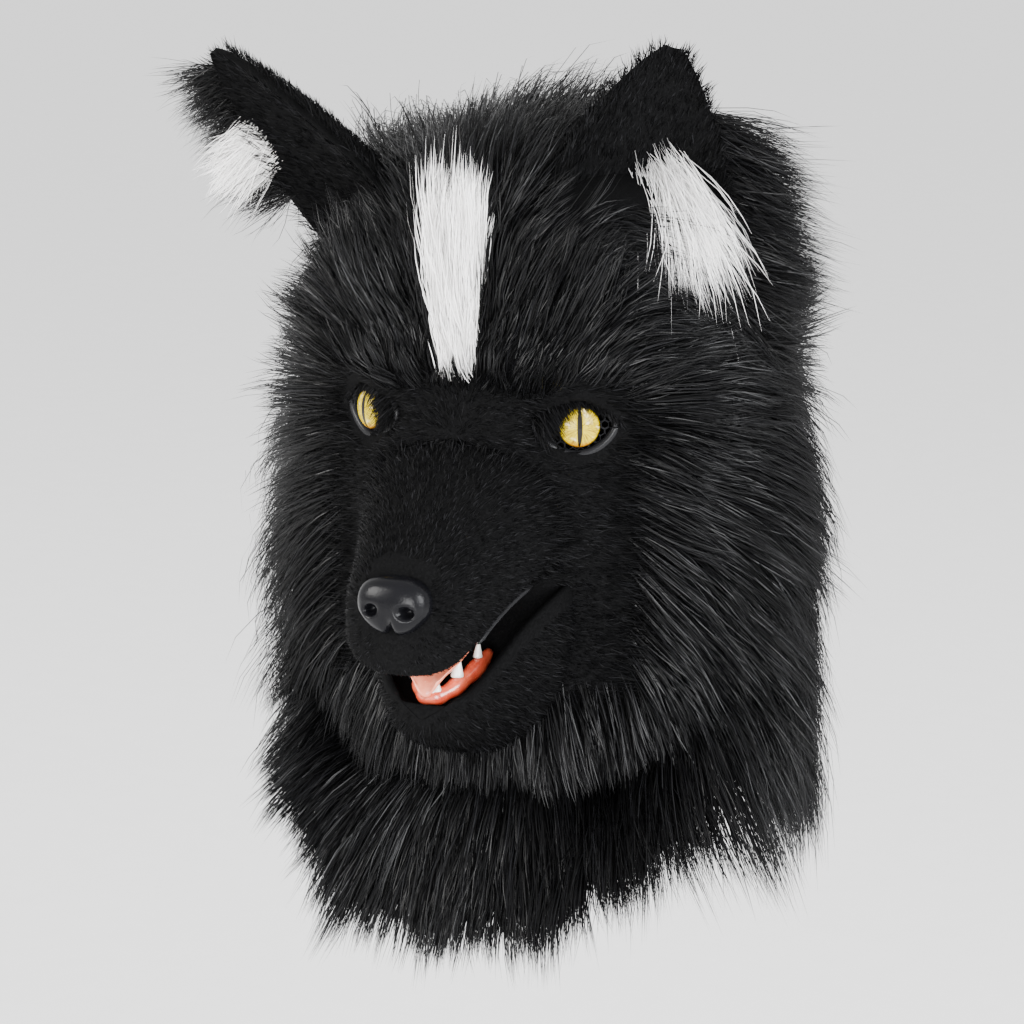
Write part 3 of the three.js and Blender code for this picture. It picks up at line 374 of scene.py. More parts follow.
class Shader:
    # a Principled material wired up by expressions
    def __init__(self, name, **constants):
        self.material = bpy.data.materials.new(name)
        self.material.use_nodes = True
        self.tree = self.material.node_tree
        self.surface = self.tree.nodes["Principled BSDF"]
        for socket, value in constants.items():
            self.feed(socket.replace("_", " "), value)

    def node(self, kind, settings=None, values=None, output=0):
        made = self.tree.nodes.new(kind)
        for key, value in (settings or {}).items():
            setattr(made, key, value)
        for key, value in (values or {}).items():
            self.feed(key, value, made)
        return Wire(self, made.outputs[output])

    def feed(self, key, value, node=None):
        socket = (node or self.surface).inputs[key]
        if isinstance(value, Wire):
            self.tree.links.new(value.socket, socket)
        else:
            socket.default_value = value

    def finish(self, colour, roughness, relief=None):
        self.feed("Base Color", colour)
        self.feed("Roughness", roughness)
        if relief:
            self.feed("Normal", relief)
        return self.material

    def place(self):
        return self.node("ShaderNodeTexCoord", output="Object")

    def map(self):
        return self.node("ShaderNodeUVMap", {"uv_map": "OFBake"})

    def parts(self, vector):
        split = self.node("ShaderNodeSeparateXYZ", values={0: vector}).socket.node
        return [Wire(self, output) for output in split.outputs]

    def noise(self, vector, scale, detail=3, roughness=0.5):
        values = {"Vector": vector, "Scale": scale, "Detail": detail, "Roughness": roughness}
        return self.node("ShaderNodeTexNoise", values=values)

    def span(self, value, low, high):
        # share of the way from low to high, eased and held inside 0 to 1
        settings = {"interpolation_type": "SMOOTHSTEP"}
        return self.node("ShaderNodeMapRange", settings, {0: value, 1: low, 2: high})

    def mix(self, factor, first, second):
        first, second = [(*c, 1) if isinstance(c, tuple) else c for c in (first, second)]
        return self.node("ShaderNodeMix", {"data_type": "RGBA"}, {0: factor, 6: first, 7: second}, output=2)

    def bump(self, height, strength, distance):
        values = {"Height": height, "Strength": strength, "Distance": distance * mm}
        return self.node("ShaderNodeBump", values=values)


def furMaterial(name, rootColour, tipColour, paleColour, roughness, rarity, gloss):
    # colour runs from root to tip, and the strand's tone picks out the paler ones; in the white fur the
    # darker root is painted shade
    shader = Shader(name, Specular_IOR_Level=gloss)
    column, along, _ = shader.parts(shader.map())
    tone = ((column * 256.0).math("FLOOR") * 0.618).math("FRACT")
    strand = shader.mix(along, rootColour, tipColour)
    return shader.finish(shader.mix(tone**rarity, strand, paleColour), roughness - 0.12 * tone)


def clothMaterial(name, dark, pale, grain, strength):
    # matt nap: noise in the tone and the relief
    shader = Shader(name, Specular_IOR_Level=0.05)
    nap = shader.noise(shader.place(), grain, 3, 0.7)
    colour = shader.mix(shader.span(nap, 0.3, 0.75), dark, pale)
    return shader.finish(colour, 0.95 - 0.15 * nap, shader.bump(nap, strength, 0.6))


def vinylMaterial(name, dark, pale, roughness, grain, depth):
    # moulded vinyl: a fine pebble, and clouds in tone and gloss
    shader = Shader(name, Specular_IOR_Level=0.11)
    place = shader.place()
    pebble = shader.node("ShaderNodeTexVoronoi", {}, {"Vector": place, "Scale": grain})
    cloudAndReflection = shader.noise(place, 70)
    colour = shader.mix(cloudAndReflection, dark, pale)
    return shader.finish(colour, roughness - 0.06 + 0.12 * cloudAndReflection, shader.bump(pebble, 0.5, depth))


def wetMaterial(name, dark, pale, roughness, cloudScale, coat):
    # painted resin under a clear coat, with cloudy colour and soft lumps
    shader = Shader(name, Coat_Weight=coat, Coat_Roughness=0.12, Subsurface_Weight=0.08)
    place = shader.place()
    cloudAndReflection = shader.noise(place, cloudScale, 4, 0.6)
    colour = shader.mix(shader.span(cloudAndReflection, 0.3, 0.7), dark, pale)
    lumps = shader.bump(shader.noise(place, 3 * cloudScale), 0.4, 0.4)
    return shader.finish(colour, roughness - 0.05 + 0.1 * cloudAndReflection, lumps)


def irisMaterial(name):
    # polar pattern about the map's middle: radial streaks, pale patches of painted reflection, orange
    # toward the lower rim, a slit pupil of half width 0.12 (1 - y^2)^0.6, and a dark edge
    shader = Shader(name, Coat_Weight=0.2, Coat_Roughness=0.04, Specular_IOR_Level=0.1)
    u, v, _ = shader.parts(shader.map())
    x, y = (u - 0.5) * 2.38, (v - 0.5) * 2.38
    radius = (x * x + y * y) ** 0.5
    angle = y.math("ARCTAN2", x)
    circle = {0: angle.math("COSINE"), 1: angle.math("SINE"), 2: radius * 0.25}
    ray = shader.node("ShaderNodeCombineXYZ", values=circle)
    streak = shader.noise(ray, 9, 4, 0.65)
    flesh = shader.mix(shader.span(streak, 0.3, 0.6), (0.11, 0.06, 0.001), (0.48, 0.36, 0.0))
    # pale patches from a low cloud noise: painted reflections on the iris, not a colour of the resin
    cloudAndReflection = shader.noise(shader.map(), 5.5, 2)
    flesh = shader.mix(shader.span(cloudAndReflection, 0.58, 0.72) * 0.6, flesh, (0.72, 0.62, 0.42))
    low = shader.span(y * -1.0 + radius * 0.5, 0.9, 1.45)
    flesh = shader.mix(low, flesh, (0.32, 0.12, 0.004))
    fleck = shader.span(shader.noise(shader.map(), 14, 4, 0.7) + y * 0.12, 0.56, 0.7)
    flesh = shader.mix(fleck * 0.7, flesh, (0.05, 0.03, 0.008))
    slit = (1.0 - (y / 0.95).math("ABSOLUTE") ** 2).math("MAXIMUM", 0.0) ** 0.6 * 0.12
    pupil = shader.span(slit - x.math("ABSOLUTE"), -0.02, 0.01)
    dark = pupil.math("MAXIMUM", shader.span(radius, 0.86, 0.99))
    return shader.finish(shader.mix(dark, flesh, (0.004, 0.003, 0.002)), 0.25 + 0.1 * streak)


soot = (0.001, 0.001, 0.001)
ash = (0.002, 0.002, 0.0022)
sheen = (0.008, 0.008, 0.009)
blackFur = furMaterial("blackFur", soot, ash, sheen, 0.36, 4.0, 0.12)
shortFur = furMaterial("shortFur", soot, ash, sheen, 0.55, 5.0, 0.04)
cream = (0.86, 0.85, 0.84)
# the white fur's grey root colour is painted shade deep in the locks; cream is its own colour
whiteFur = furMaterial("whiteFur", (0.4, 0.39, 0.38), cream, (0.95, 0.94, 0.93), 0.55, 1.0, 0.4)
pile = clothMaterial("blackPile", (0.001, 0.001, 0.0011), (0.003, 0.003, 0.0032), 900, 0.6)
backing = clothMaterial("clothBacking", (0.002, 0.002, 0.002), (0.006, 0.006, 0.0065), 500, 0.4)
meshCloth = clothMaterial("meshCloth", (0.006, 0.006, 0.007), (0.014, 0.014, 0.015), 1400, 0.3)
noseVinyl = vinylMaterial("noseVinyl", (0.002, 0.002, 0.0025), (0.004, 0.004, 0.005), 0.22, 1300, 0.1)
lidVinyl = vinylMaterial("lidVinyl", (0.006, 0.006, 0.0065), (0.012, 0.012, 0.013), 0.24, 900, 0.04)
gumResin = wetMaterial("gumResin", (0.42, 0.035, 0.015), (0.68, 0.11, 0.05), 0.3, 130, 0.9)
tongueRubber = wetMaterial("tongueRubber", (0.6, 0.13, 0.07), (0.76, 0.24, 0.14), 0.42, 160, 0.4)
toothResin = wetMaterial("toothResin", (0.72, 0.69, 0.62), (0.88, 0.86, 0.81), 0.3, 220, 0.6)
eyeResin = irisMaterial("eyeResin")
print("materials made")

# Eyes: a domed iris on open mesh, inside a moulded lid
eyes = {
    "turn": 30,
    "diameter": 20,
    "irisShift": 1.2,  # toward the nose
    "dome": 5,
    "base": 2.4,
    "seat": 0,  # front of the mesh, out of the face
    "lidSeat": 1.3,
    "lidWidth": 37,
    "lowerLid": 13.8,
    "upperLid": 13.6,
    "lidTube": 2.3,
    "noseward": 0.06,
    "cell": 3.7,
}


def eyeFrame(side):
    # middle on the face, and the axes across, up and out of the eye
    angle = np.radians(eyes["turn"]) * side
    out = np.array([np.sin(angle), -np.cos(angle), 0.0])
    up = np.array([0.0, 0.0, 1.0])
    return onFace(side * hood["eyeSpan"] / 2, -hood["eyeDrop"]), np.cross(up, out) * side, up, out


def inFrame(axes, a, b, c):
    middle, across, up, out = axes
    a, b, c = [part[..., None] for part in np.broadcast_arrays(a, b, c)]
    return middle + a * across + b * up + c * out


def lidReach(cosine, upper, inset):
    # height of the almond outline: (height - inset) s (0.55 + 0.45 s), with s the sine at that place
    sine = np.sqrt(np.clip(1 - cosine**2, 0, 1))
    return (np.where(upper, eyes["upperLid"], eyes["lowerLid"]) - inset) * sine * (0.55 + 0.45 * sine)


def insideLid(axes, points, inset):
    offset = points - axes[0]
    a, b = dot(offset, axes[1])[..., 0], dot(offset, axes[2])[..., 0]
    cosine = (a + eyes["noseward"] * eyes["lidWidth"]) / (eyes["lidWidth"] / 2 - inset)
    return (np.abs(cosine) < 1) & (np.abs(b) < lidReach(cosine, b > 0, inset))


def lidLine(axes, inset, depth, count):
    angle = turnsAround(count)
    a = -eyes["noseward"] * eyes["lidWidth"] + (eyes["lidWidth"] / 2 - inset) * np.cos(angle)
    b = np.sign(np.sin(angle)) * lidReach(np.cos(angle), np.sin(angle) > 0, inset)
    return inFrame(axes, a, b, depth)


def makeEye(name, axes):
    # dome: rings of radius R sqrt(1 - t^2) at height base + dome t, then the rim and the flat back
    angle = turnsAround(48)
    radius, foot = eyes["diameter"] / 2, eyes["seat"] + 0.3
    lift = np.sin(np.linspace(np.pi / 2, 0, 16))[1:]
    reach = np.concatenate([radius * np.sqrt(1 - lift**2), [radius, radius, 0.6 * radius]])[:, None]
    height = np.concatenate([eyes["base"] + eyes["dome"] * lift, [0.5 * eyes["base"], 0, 0]])
    height = foot + height[:, None]
    rings = inFrame(axes, reach * np.cos(angle) - eyes["irisShift"], reach * np.sin(angle), height)
    vertices, faceSets = tubeMesh(rings)
    vertices[-2] = inFrame(axes, -eyes["irisShift"], 0, foot + eyes["base"] + eyes["dome"])
    spread = np.concatenate([0.42 * reach[:-3, 0] / radius, [0.45, 0.49, 0.2]])
    mapped = 0.5 + spread[:, None, None] * np.stack([np.cos(angle), np.sin(angle)], -1)
    uvs = np.concatenate([mapped.reshape(-1, 2), [[0.5, 0.5], [0.5, 0.5]]])
    node = name.lower()
    addSolid(f"eye{name}", (vertices, faceSets), eyeResin, f"eye_{node}", "eye_resin", uvs)
    # mesh: hexagonal cells, each a ring of square section
    cell = eyes["cell"]
    row, column = np.meshgrid(np.arange(-8, 9), np.arange(-8, 9), indexing="ij")
    centres = np.stack([(column + 0.5 * (row % 2)) * cell, row * cell * 0.866], -1).reshape(-1, 2)
    centres = centres[insideLid(axes, inFrame(axes, centres[:, 0], centres[:, 1], 0), 0.45 * cell)]
    turns = np.radians(np.arange(6) * 60 + 30)
    corner = np.stack([np.cos(turns), np.sin(turns)], -1)[None] * cell / np.sqrt(3)
    loops = []
    for share, depth in ((0.99, 0), (0.8, 0), (0.8, -1), (0.99, -1)):
        around = centres[:, None] + share * corner
        loops.append(inFrame(axes, around[..., 0], around[..., 1], eyes["seat"] + depth))
    quads = gridFaces(4, 6, closed=True)[None] + 24 * np.arange(len(centres))[:, None, None]
    addSolid(f"eyeMesh{name}", (np.stack(loops, 1), [quads.reshape(-1, 4)]), meshCloth, f"eye_mesh_{node}",
             "mesh_cloth", smoothed=False)
    rings = pathRings(lidLine(axes, 0, eyes["lidSeat"], 96), eyes["lidTube"], 16, closed=True)
    addSolid(f"eyeRim{name}", (rings, [gridFaces(96, 16, closed=True)]), lidVinyl, f"eye_rim_{node}",
             "lid_vinyl")


sides = {"Left": 1, "Right": -1}
eyeAxes = {name: eyeFrame(side) for name, side in sides.items()}
for name, axes in eyeAxes.items():
    makeEye(name, axes)
print("eyes made")

# Muzzle, lower jaw and mouth
muzzle = {
    "length": 156,
    "width": 100,
    "wall": 4,
    "stopDrop": 120,
    "lipDrop": 219,
    "cornerDrop": 182,
}
muzzleStations = np.array([  # reach, top, lip, half
    (0.3, -0.1, -0.1, 1.12),
    (0.46, -0.05, 0.02, 1.06),
    (0.56, 0.0, 0.14, 0.97),
    (0.67, 0.12, 0.32, 0.85),
    (0.77, 0.25, 0.54, 0.75),
    (0.865, 0.37, 0.8, 0.67),
    (0.94, 0.47, 0.97, 0.56),
    (0.985, 0.6, 0.96, 0.36),
    (1.0, 0.76, 0.86, 0.08),
])
jaw = {
    "length": 128,
    "width": 98,
    "wall": 4,
    "chinDrop": 258,
}
jawStations = np.array([  # reach, lip, bottom, half
    (0.46, 0.05, 1.045, 1.02),
    (0.62, 0.12, 1.045, 0.99),
    (0.74, 0.29, 1.035, 0.8),
    (0.85, 0.49, 1.015, 0.63),
    (0.93, 0.655, 0.995, 0.45),
    (0.98, 0.73, 0.975, 0.26),
    (1.0, 0.82, 0.955, 0.05),
])
mouth = {
    "gumWidth": 26,
    "gumTube": 4.2,
    "gumDrop": 236,
    "gumRise": 0.42,
    "gumFront": -118.8,
    "tongueWidth": 27,
    "tongueThickness": 1.8,
    "tongueEnd": -84.5,
    "lipTube": 1.4,
}


def muzzleAt(turn, reach, inset=0):
    # (half sin^0.82, -reach length, widest + (top - widest) cos or + (lip - widest) |cos|^0.55)
    angle = np.radians(turn)
    stop, corner, lowest = muzzle["stopDrop"], muzzle["cornerDrop"], muzzle["lipDrop"]
    top = -stop - (lowest - stop) * curveAt(muzzleStations, 1, reach) - inset
    lip = -corner - (lowest - corner) * curveAt(muzzleStations, 2, reach) + inset
    half = np.maximum(0.5 * muzzle["width"] * curveAt(muzzleStations, 3, reach) - inset, 0.6)
    widest = lip + 0.36 * (top - lip)
    rise = np.cos(angle)
    height = np.where(rise > 0, (top - widest) * rise, (lip - widest) * np.abs(rise) ** 0.55)
    return stack(half * power(np.sin(angle), 0.82), -reach * muzzle["length"], widest + height)


def jawAt(turn, reach):
    # below the lip: (half sin^0.8, -reach length, lip + (bottom - lip) |cos|^0.7), turn 90 to 270
    angle = np.radians(turn)
    corner = muzzle["cornerDrop"]
    lip = -corner - (jaw["chinDrop"] - corner) * curveAt(jawStations, 1, reach)
    bottom = -jaw["chinDrop"] * curveAt(jawStations, 2, reach)
    half = 0.5 * jaw["width"] * curveAt(jawStations, 3, reach)
    return stack(half * power(np.sin(angle), 0.8), -reach * jaw["length"],
                 lip + (bottom - lip) * np.abs(np.cos(angle)) ** 0.7)


def gumLevel(y, above):
    # height above the gums, which rise toward the throat
    return -mouth["gumDrop"] + above + mouth["gumRise"] * (y - mouth["gumFront"])


def troughAt(turn, reach):
    # floor of the mouth: the same section, narrower by the wall, down to a level that rises to the throat
    edge = jawAt(90, reach)
    lip, half, y = edge[..., 2], edge[..., 0], edge[..., 1]
    sink = smooth(reach, 0.985, 0.95)
    floor = lip + (np.minimum(gumLevel(y, -mouth["gumTube"] - 0.3), lip - 1) - lip) * sink - 0.4
    angle = np.radians(turn)
    wide = np.maximum(half - jaw["wall"] * (0.3 + 0.7 * sink), 0.3)
    return stack(wide * power(np.sin(angle), 0.8), y, lip + (floor - lip) * np.abs(np.cos(angle)) ** 0.7)


def makeMuzzle():
    around = turnsAround(56, 360)
    outside = 1 - 0.7 * np.linspace(0, 1, 44)[:, None] ** 1.7
    inside = np.linspace(0.3, 0.865, 16)[:, None]
    rings = np.concatenate([muzzleAt(around, outside), muzzleAt(around, inside, muzzle["wall"])])
    addSolid("muzzle", tubeMesh(rings), pile, "muzzle", "short_pile")
    below = np.linspace(90, 270, 33)
    reach = 0.46 + 0.54 * (1 - (1 - np.linspace(0, 1, 40)[:, None]) ** 1.7)
    rings = np.concatenate([jawAt(below, reach), troughAt(below[::-1], reach)], 1)
    addSolid("lowerJaw", tubeMesh(rings), pile, "lower_jaw", "short_pile")
    tube = mouth["lipTube"]
    for name, side in sides.items():
        path = muzzleAt(side * 126, np.linspace(0.6, 0.84, 24)) + np.array([side, 0, -1]) * 0.8 * tube
        taper = np.minimum(1, 3 * np.sin(np.linspace(0.12, np.pi - 0.12, 24)))
        addSolid(f"lipEdge{name}", tubeMesh(pathRings(path, tube * taper, 14)), lidVinyl,
                 f"lip_edge_{name.lower()}", "lid_vinyl")


# Hood cloth, open at the eyes and behind the muzzle
cloth = {
    "frontTurn": 52,
    "frontColumns": 80,
    "backColumns": 40,
    "ways": ((0.0, 0.5, 24), (0.5, 0.65, 32), (0.65, 1.0, 24)),  # from, to, rows
    "neckRows": 24,
}


def makeCloth(setup):
    front = np.linspace(-setup["frontTurn"], setup["frontTurn"], setup["frontColumns"])
    back = np.linspace(setup["frontTurn"], 360 - setup["frontTurn"], setup["backColumns"] + 2)[1:-1]
    turns = np.concatenate([front, back])
    ways = [np.linspace(low, high, count, endpoint=False) for low, high, count in setup["ways"]]
    ways = np.concatenate([*ways, [1]])
    u, v = np.meshgrid(turns, ways)
    columns = len(turns)
    outer, normal = headToSeam(u, v).reshape(-1, 3), normalOf(headToSeam, u, v).reshape(-1, 3)
    normal[:columns] = (0, 0, 1)
    quads = gridFaces(*u.shape)
    cap = quads[:columns][:, [0, 2, 3]] * [0, 1, 1]
    quads = quads[columns:]
    middle = outer[quads].mean(1)
    opened = np.zeros(len(quads), bool)
    for axes in eyeAxes.values():
        opened |= insideLid(axes, middle, 0.6 * eyes["lidTube"])
    ring = muzzleAt(np.arange(0, 360, 6), 0.46, muzzle["wall"])
    tall, low = ring[:, 2].max(), ring[:, 2].min()
    level = (2 * middle[:, 2] - tall - low) / (tall - low)
    opened |= (middle[:, 0] / ring[:, 0].max()) ** 2 + level**2 < 0.9
    opened &= middle[:, 1] < 0
    # the first row is one point, the top of the crown
    shift = columns - 1
    faceSets = [np.maximum(quads[~opened] - shift, 0), np.maximum(cap - shift, 0)]
    inner = outer - normal * hood["wall"]
    addSolid("hoodCloth", wallMesh(outer[shift:], inner[shift:], faceSets), pile, "hood_shell", "black_fur")
    u, v = np.meshgrid(turns, np.linspace(-0.04, 1, setup["neckRows"]))
    outer = neckPoint(u, v)
    inner = outer - normalOf(neckPoint, u, v) * hood["wall"]
    addSolid("neckCloth", wallMesh(outer, inner, [gridFaces(*u.shape)]), backing, "neck_skirt", "black_fur")


makeMuzzle()
makeCloth(cloth)
print("cloth made")


def archPoint(share, above):
    # arch of the gums: angle pi (share - 1/2)
    angle = np.pi * (np.asarray(share) - 0.5)
    y = mouth["gumFront"] + mouth["gumWidth"] * 1.35 * (1 - np.cos(angle))
    return stack(0.52 * mouth["gumWidth"] * np.sin(angle), y, gumLevel(y, above))


def makeGums():
    # tube in soft lumps: r (0.95 + 0.09 cos 43 share), thinner at both ends
    share = np.linspace(0, 1, 60)
    lumps = 0.95 + 0.09 * np.cos(43 * share)
    radius = mouth["gumTube"] * lumps * np.minimum(1, 0.55 + 8 * share * (1 - share))
    addSolid("gums", tubeMesh(pathRings(archPoint(share, 0), radius, 20)), gumResin, "gums", "gum_resin")


def makeTongue():
    # width sqrt(1 - (0.9 - 3 way)^2) near the tip, curled up by across^2, thinner toward its rim, with
    # the tip hanging by 4 (1 - 6 way)^2
    across, way = np.meshgrid(np.linspace(-1, 1, 25), np.linspace(0, 1, 40))
    half = 0.5 * mouth["tongueWidth"] * np.sqrt(1 - (1 - np.minimum(0.1 + 3 * way, 1)) ** 2)
    y = mouth["gumFront"] - 5.5 + way * (mouth["tongueEnd"] - mouth["gumFront"])
    curl = 0.3 * mouth["tongueWidth"] * across**2 + 0.5 * np.sin(9 * way) * across
    z = gumLevel(y, mouth["gumTube"] + 2.4 + curl) - 4 * np.maximum(1 - 6 * way, 0) ** 2
    thick = mouth["tongueThickness"] * np.sqrt(np.clip(1.06 - across**6, 0, 1))
    above, under = stack(half * across, y, z + thick), stack(half * across, y, z)
    addSolid("tongue", wallMesh(above, under, [gridFaces(*way.shape, False)]), tongueRubber, "tongue",
             "tongue_rubber")


teeth = {  # shares along the arch, height, width, lean outward, and shift forward and down
    "incisors": ((0.41, 0.47, 0.53, 0.59), 4.6, 4.7, 0.1, 1.8),
    "canine_left": ((0.74,), 11, 6.3, 0.12, 0),
    "canine_right": ((0.26,), 11, 6.3, 0.12, 0),
    "premolar_left": ((0.9,), 9, 4.6, 0.05, 0),
    "premolar_right": ((0.1,), 9, 4.6, 0.05, 0),
}


def makeTeeth(name, shares, height, width, lean, shift):
    # pegs of radius w/2 (0.05 + 0.95 (1 - t^1.2)), leaning outward by lean t^2
    t = np.linspace(0, 1, 12)
    points, sets, count = [], [], 0
    for share in shares:
        foot = archPoint(share, mouth["gumTube"] + 0.3) - np.array([0, shift, shift])
        outward = unit(foot * [1, 0, 0] + [1e-6, 0, 0])
        rise = np.array([0, 0, 1]) * height * t[:, None]
        path = foot + rise + outward * lean * height * t[:, None] ** 2
        vertices, faceSets = tubeMesh(pathRings(path, 0.5 * width * (0.05 + 0.95 * (1 - t**1.2)), 14))
        points.append(vertices)
        sets.append([faces + count for faces in faceSets])
        count += len(vertices)
    merged = [np.concatenate(faces) for faces in zip(*sets)]
    addSolid(name, (np.concatenate(points), merged), toothResin, name, "tooth_resin")


makeGums()
makeTongue()
for name, row in teeth.items():
    makeTeeth(name, *row)
print("mouth made")

# Nose pad
nose = {
    "width": 36,
    "height": 27,
    "depth": 20,
    "drop": 185,
    "nostrilSpan": 17,
    "nostril": 6,
    "pit": 7,
    "bareReach": 0.93,  # where the pad leaves the muzzle without fur
    "bareFall": 13,
    "bareHalf": 15,
}


def nosePoint(turn, rise):
    # rounded block: powers of the sphere's sines and cosines, narrowed below, with a cleft up the middle
    around, level = np.radians(turn), np.radians(rise)
    x = 0.5 * nose["width"] * power(np.cos(level), 0.75) * power(np.sin(around), 0.85)
    y = -0.5 * nose["depth"] * power(np.cos(level), 0.75) * power(np.cos(around), 0.85)
    z = 0.5 * nose["height"] * power(np.sin(level), 0.8)
    low = smooth(-z / nose["height"], 0, 0.5)
    cleft = 0.1 * nose["height"] * low * np.exp(-((x / (0.07 * nose["width"])) ** 2))
    middle = -muzzle["length"] + 0.1 * nose["depth"]
    # nostrils: pits of depth exp(-d^4) in front
    hole = 0
    for side in (1, -1):
        away = ((x - side * (0.5 * nose["nostrilSpan"] - 0.25 * z)) / (0.55 * nose["nostril"])) ** 2
        hole = hole + np.exp(-((away + ((z + 0.06 * nose["height"]) / (0.42 * nose["nostril"])) ** 2) ** 2))
    hole = nose["pit"] * hole * smooth(np.cos(around), 0, 0.3)
    return stack(x * (1 - 0.22 * low), middle + y + cleft + hole, -nose["drop"] + z + cleft)


u, v = np.meshgrid(turnsAround(84, 360), np.linspace(-86, 86, 46))
addSolid("nosePad", tubeMesh(nosePoint(u, v)), noseVinyl, "nose_pad", "nose_vinyl")

# Ears: cupped leaves, the left one standing and the right one splayed
ears = {
    "height": 108,
    "base": 92,
    "wall": 5,
    "cup": 22,
}
earSections = np.array([  # rise, half, cup
    (0.0, 1.0, 1.0),
    (0.22, 0.97, 1.0),
    (0.45, 0.83, 0.85),
    (0.68, 0.6, 0.6),
    (0.85, 0.37, 0.36),
    (0.95, 0.2, 0.2),
    (1.0, 0.09, 0.1),
])
earPoses = {  # side, inner and outer corner of the root as shares of half the head's width, lean, length
    "Left": (1, (0.33, -0.63, -0.2), (0.9, -0.18, -0.42), (0.08, 0.36, 0.98), 0.9),
    "Right": (-1, (0.4, -0.64, -0.2), (0.9, -0.18, -0.45), (0.78, 0.02, 0.78), 1.08),
}


def earFrame(side, inner, outer, lean, length):
    flip = np.array([side, 1, 1])
    inner, outer = [flip * corner * hood["headWidth"] / 2 for corner in (inner, outer)]
    across = unit(outer - inner)
    rise = unit(flip * lean)
    return (inner + outer) / 2, across, rise, unit(np.cross(across, rise) * side), ears["height"] * length


def earPoint(axes, across, rise, lift):
    # middle + across half + rise length + (lift - cup (1 - across^2)) facing
    middle, side, up, facing, length = axes
    across, rise, lift = [part[..., None] for part in np.broadcast_arrays(across, rise, lift)]
    rooted = np.clip(rise, 0, 1)
    half = 0.5 * ears["base"] * curveAt(earSections, 1, rooted)
    cup = ears["cup"] * curveAt(earSections, 2, rooted)
    return middle + across * half * side + length * rise * up + (lift - cup * (1 - across**2)) * facing


def insideEar(axes, points, margin):
    # within the cup between its back and the line of its root
    offset = points - axes[0]
    across = dot(offset, axes[1])[:, 0] / (0.5 * ears["base"])
    rise, out = dot(offset, axes[2])[:, 0], dot(offset, axes[3])[:, 0]
    deep = -ears["cup"] * (1 - across**2) - ears["wall"] - margin
    return (np.abs(across) < 1.04) & (out < margin) & (out > deep) & (rise > -0.12 * ears["height"])


earAxes = {}
for name, pose in earPoses.items():
    axes = earAxes[name] = earFrame(*pose)
    levels = np.concatenate([[-0.12], np.linspace(0, 1, 52) ** 0.9])
    across, rise = np.meshgrid(np.linspace(-1, 1, 41), levels)
    # wall rounded at its edges: half thickness times sqrt(1 - across^8) sqrt(1 - rise^14)
    rim = np.sqrt(np.clip(1 - across**8, 0.02, 1))
    rim = rim * np.sqrt(np.clip(1 - np.clip(rise, 0, 1) ** 14, 0.02, 1))
    half = 0.5 * ears["wall"]
    front = earPoint(axes, across, rise, -half + half * rim)
    rear = earPoint(axes, across, rise, -half - half * rim)
    addSolid(f"ear{name}", wallMesh(front, rear, [gridFaces(*rise.shape, False)]), pile,
             f"ear_{name.lower()}", "short_pile")
print("ears made")


# Fur
fullness = 1.0  # share of the strands


def scatter(surface, turns, ways, count, keep=None, way=1):
    # random roots over part of a surface, as many to each cell of a grid as its area asks for, with their
    # normals on the side that way gives, and their turns
    u, v = np.meshgrid(np.linspace(*turns, 61), np.linspace(*ways, 41))
    points = surface(u, v)
    down, beside = points[1:, :-1] - points[:-1, :-1], points[:-1, 1:] - points[:-1, :-1]
    area = np.linalg.norm(np.cross(down, beside), axis=-1)
    if keep is not None:
        area = area * keep((points[1:, 1:] + points[:-1, :-1]).reshape(-1, 3) / 2).reshape(area.shape)
    count = int(count * fullness)
    cell = rng.choice(area.size, count, p=area.ravel() / area.sum())
    row, column = np.divmod(cell, area.shape[1])
    u = turns[0] + (turns[1] - turns[0]) * (column + rng.random(count)) / 60
    v = ways[0] + (ways[1] - ways[0]) * (row + rng.random(count)) / 40
    if keep is not None:
        kept = keep(surface(u, v)) > rng.random(count)
        u, v = u[kept], v[kept]
    return surface(u, v), way * normalOf(surface, u, v), u


def nearest(points, centres):
    # index of the closest centre to each point, worked out in blocks of 2000 points
    found = np.empty(len(points), int)
    for start in range(0, len(points), 2000):
        part = points[start:start + 2000]
        found[start:start + 2000] = ((part[:, None] - centres[None]) ** 2).sum(-1).argmin(1)
    return found


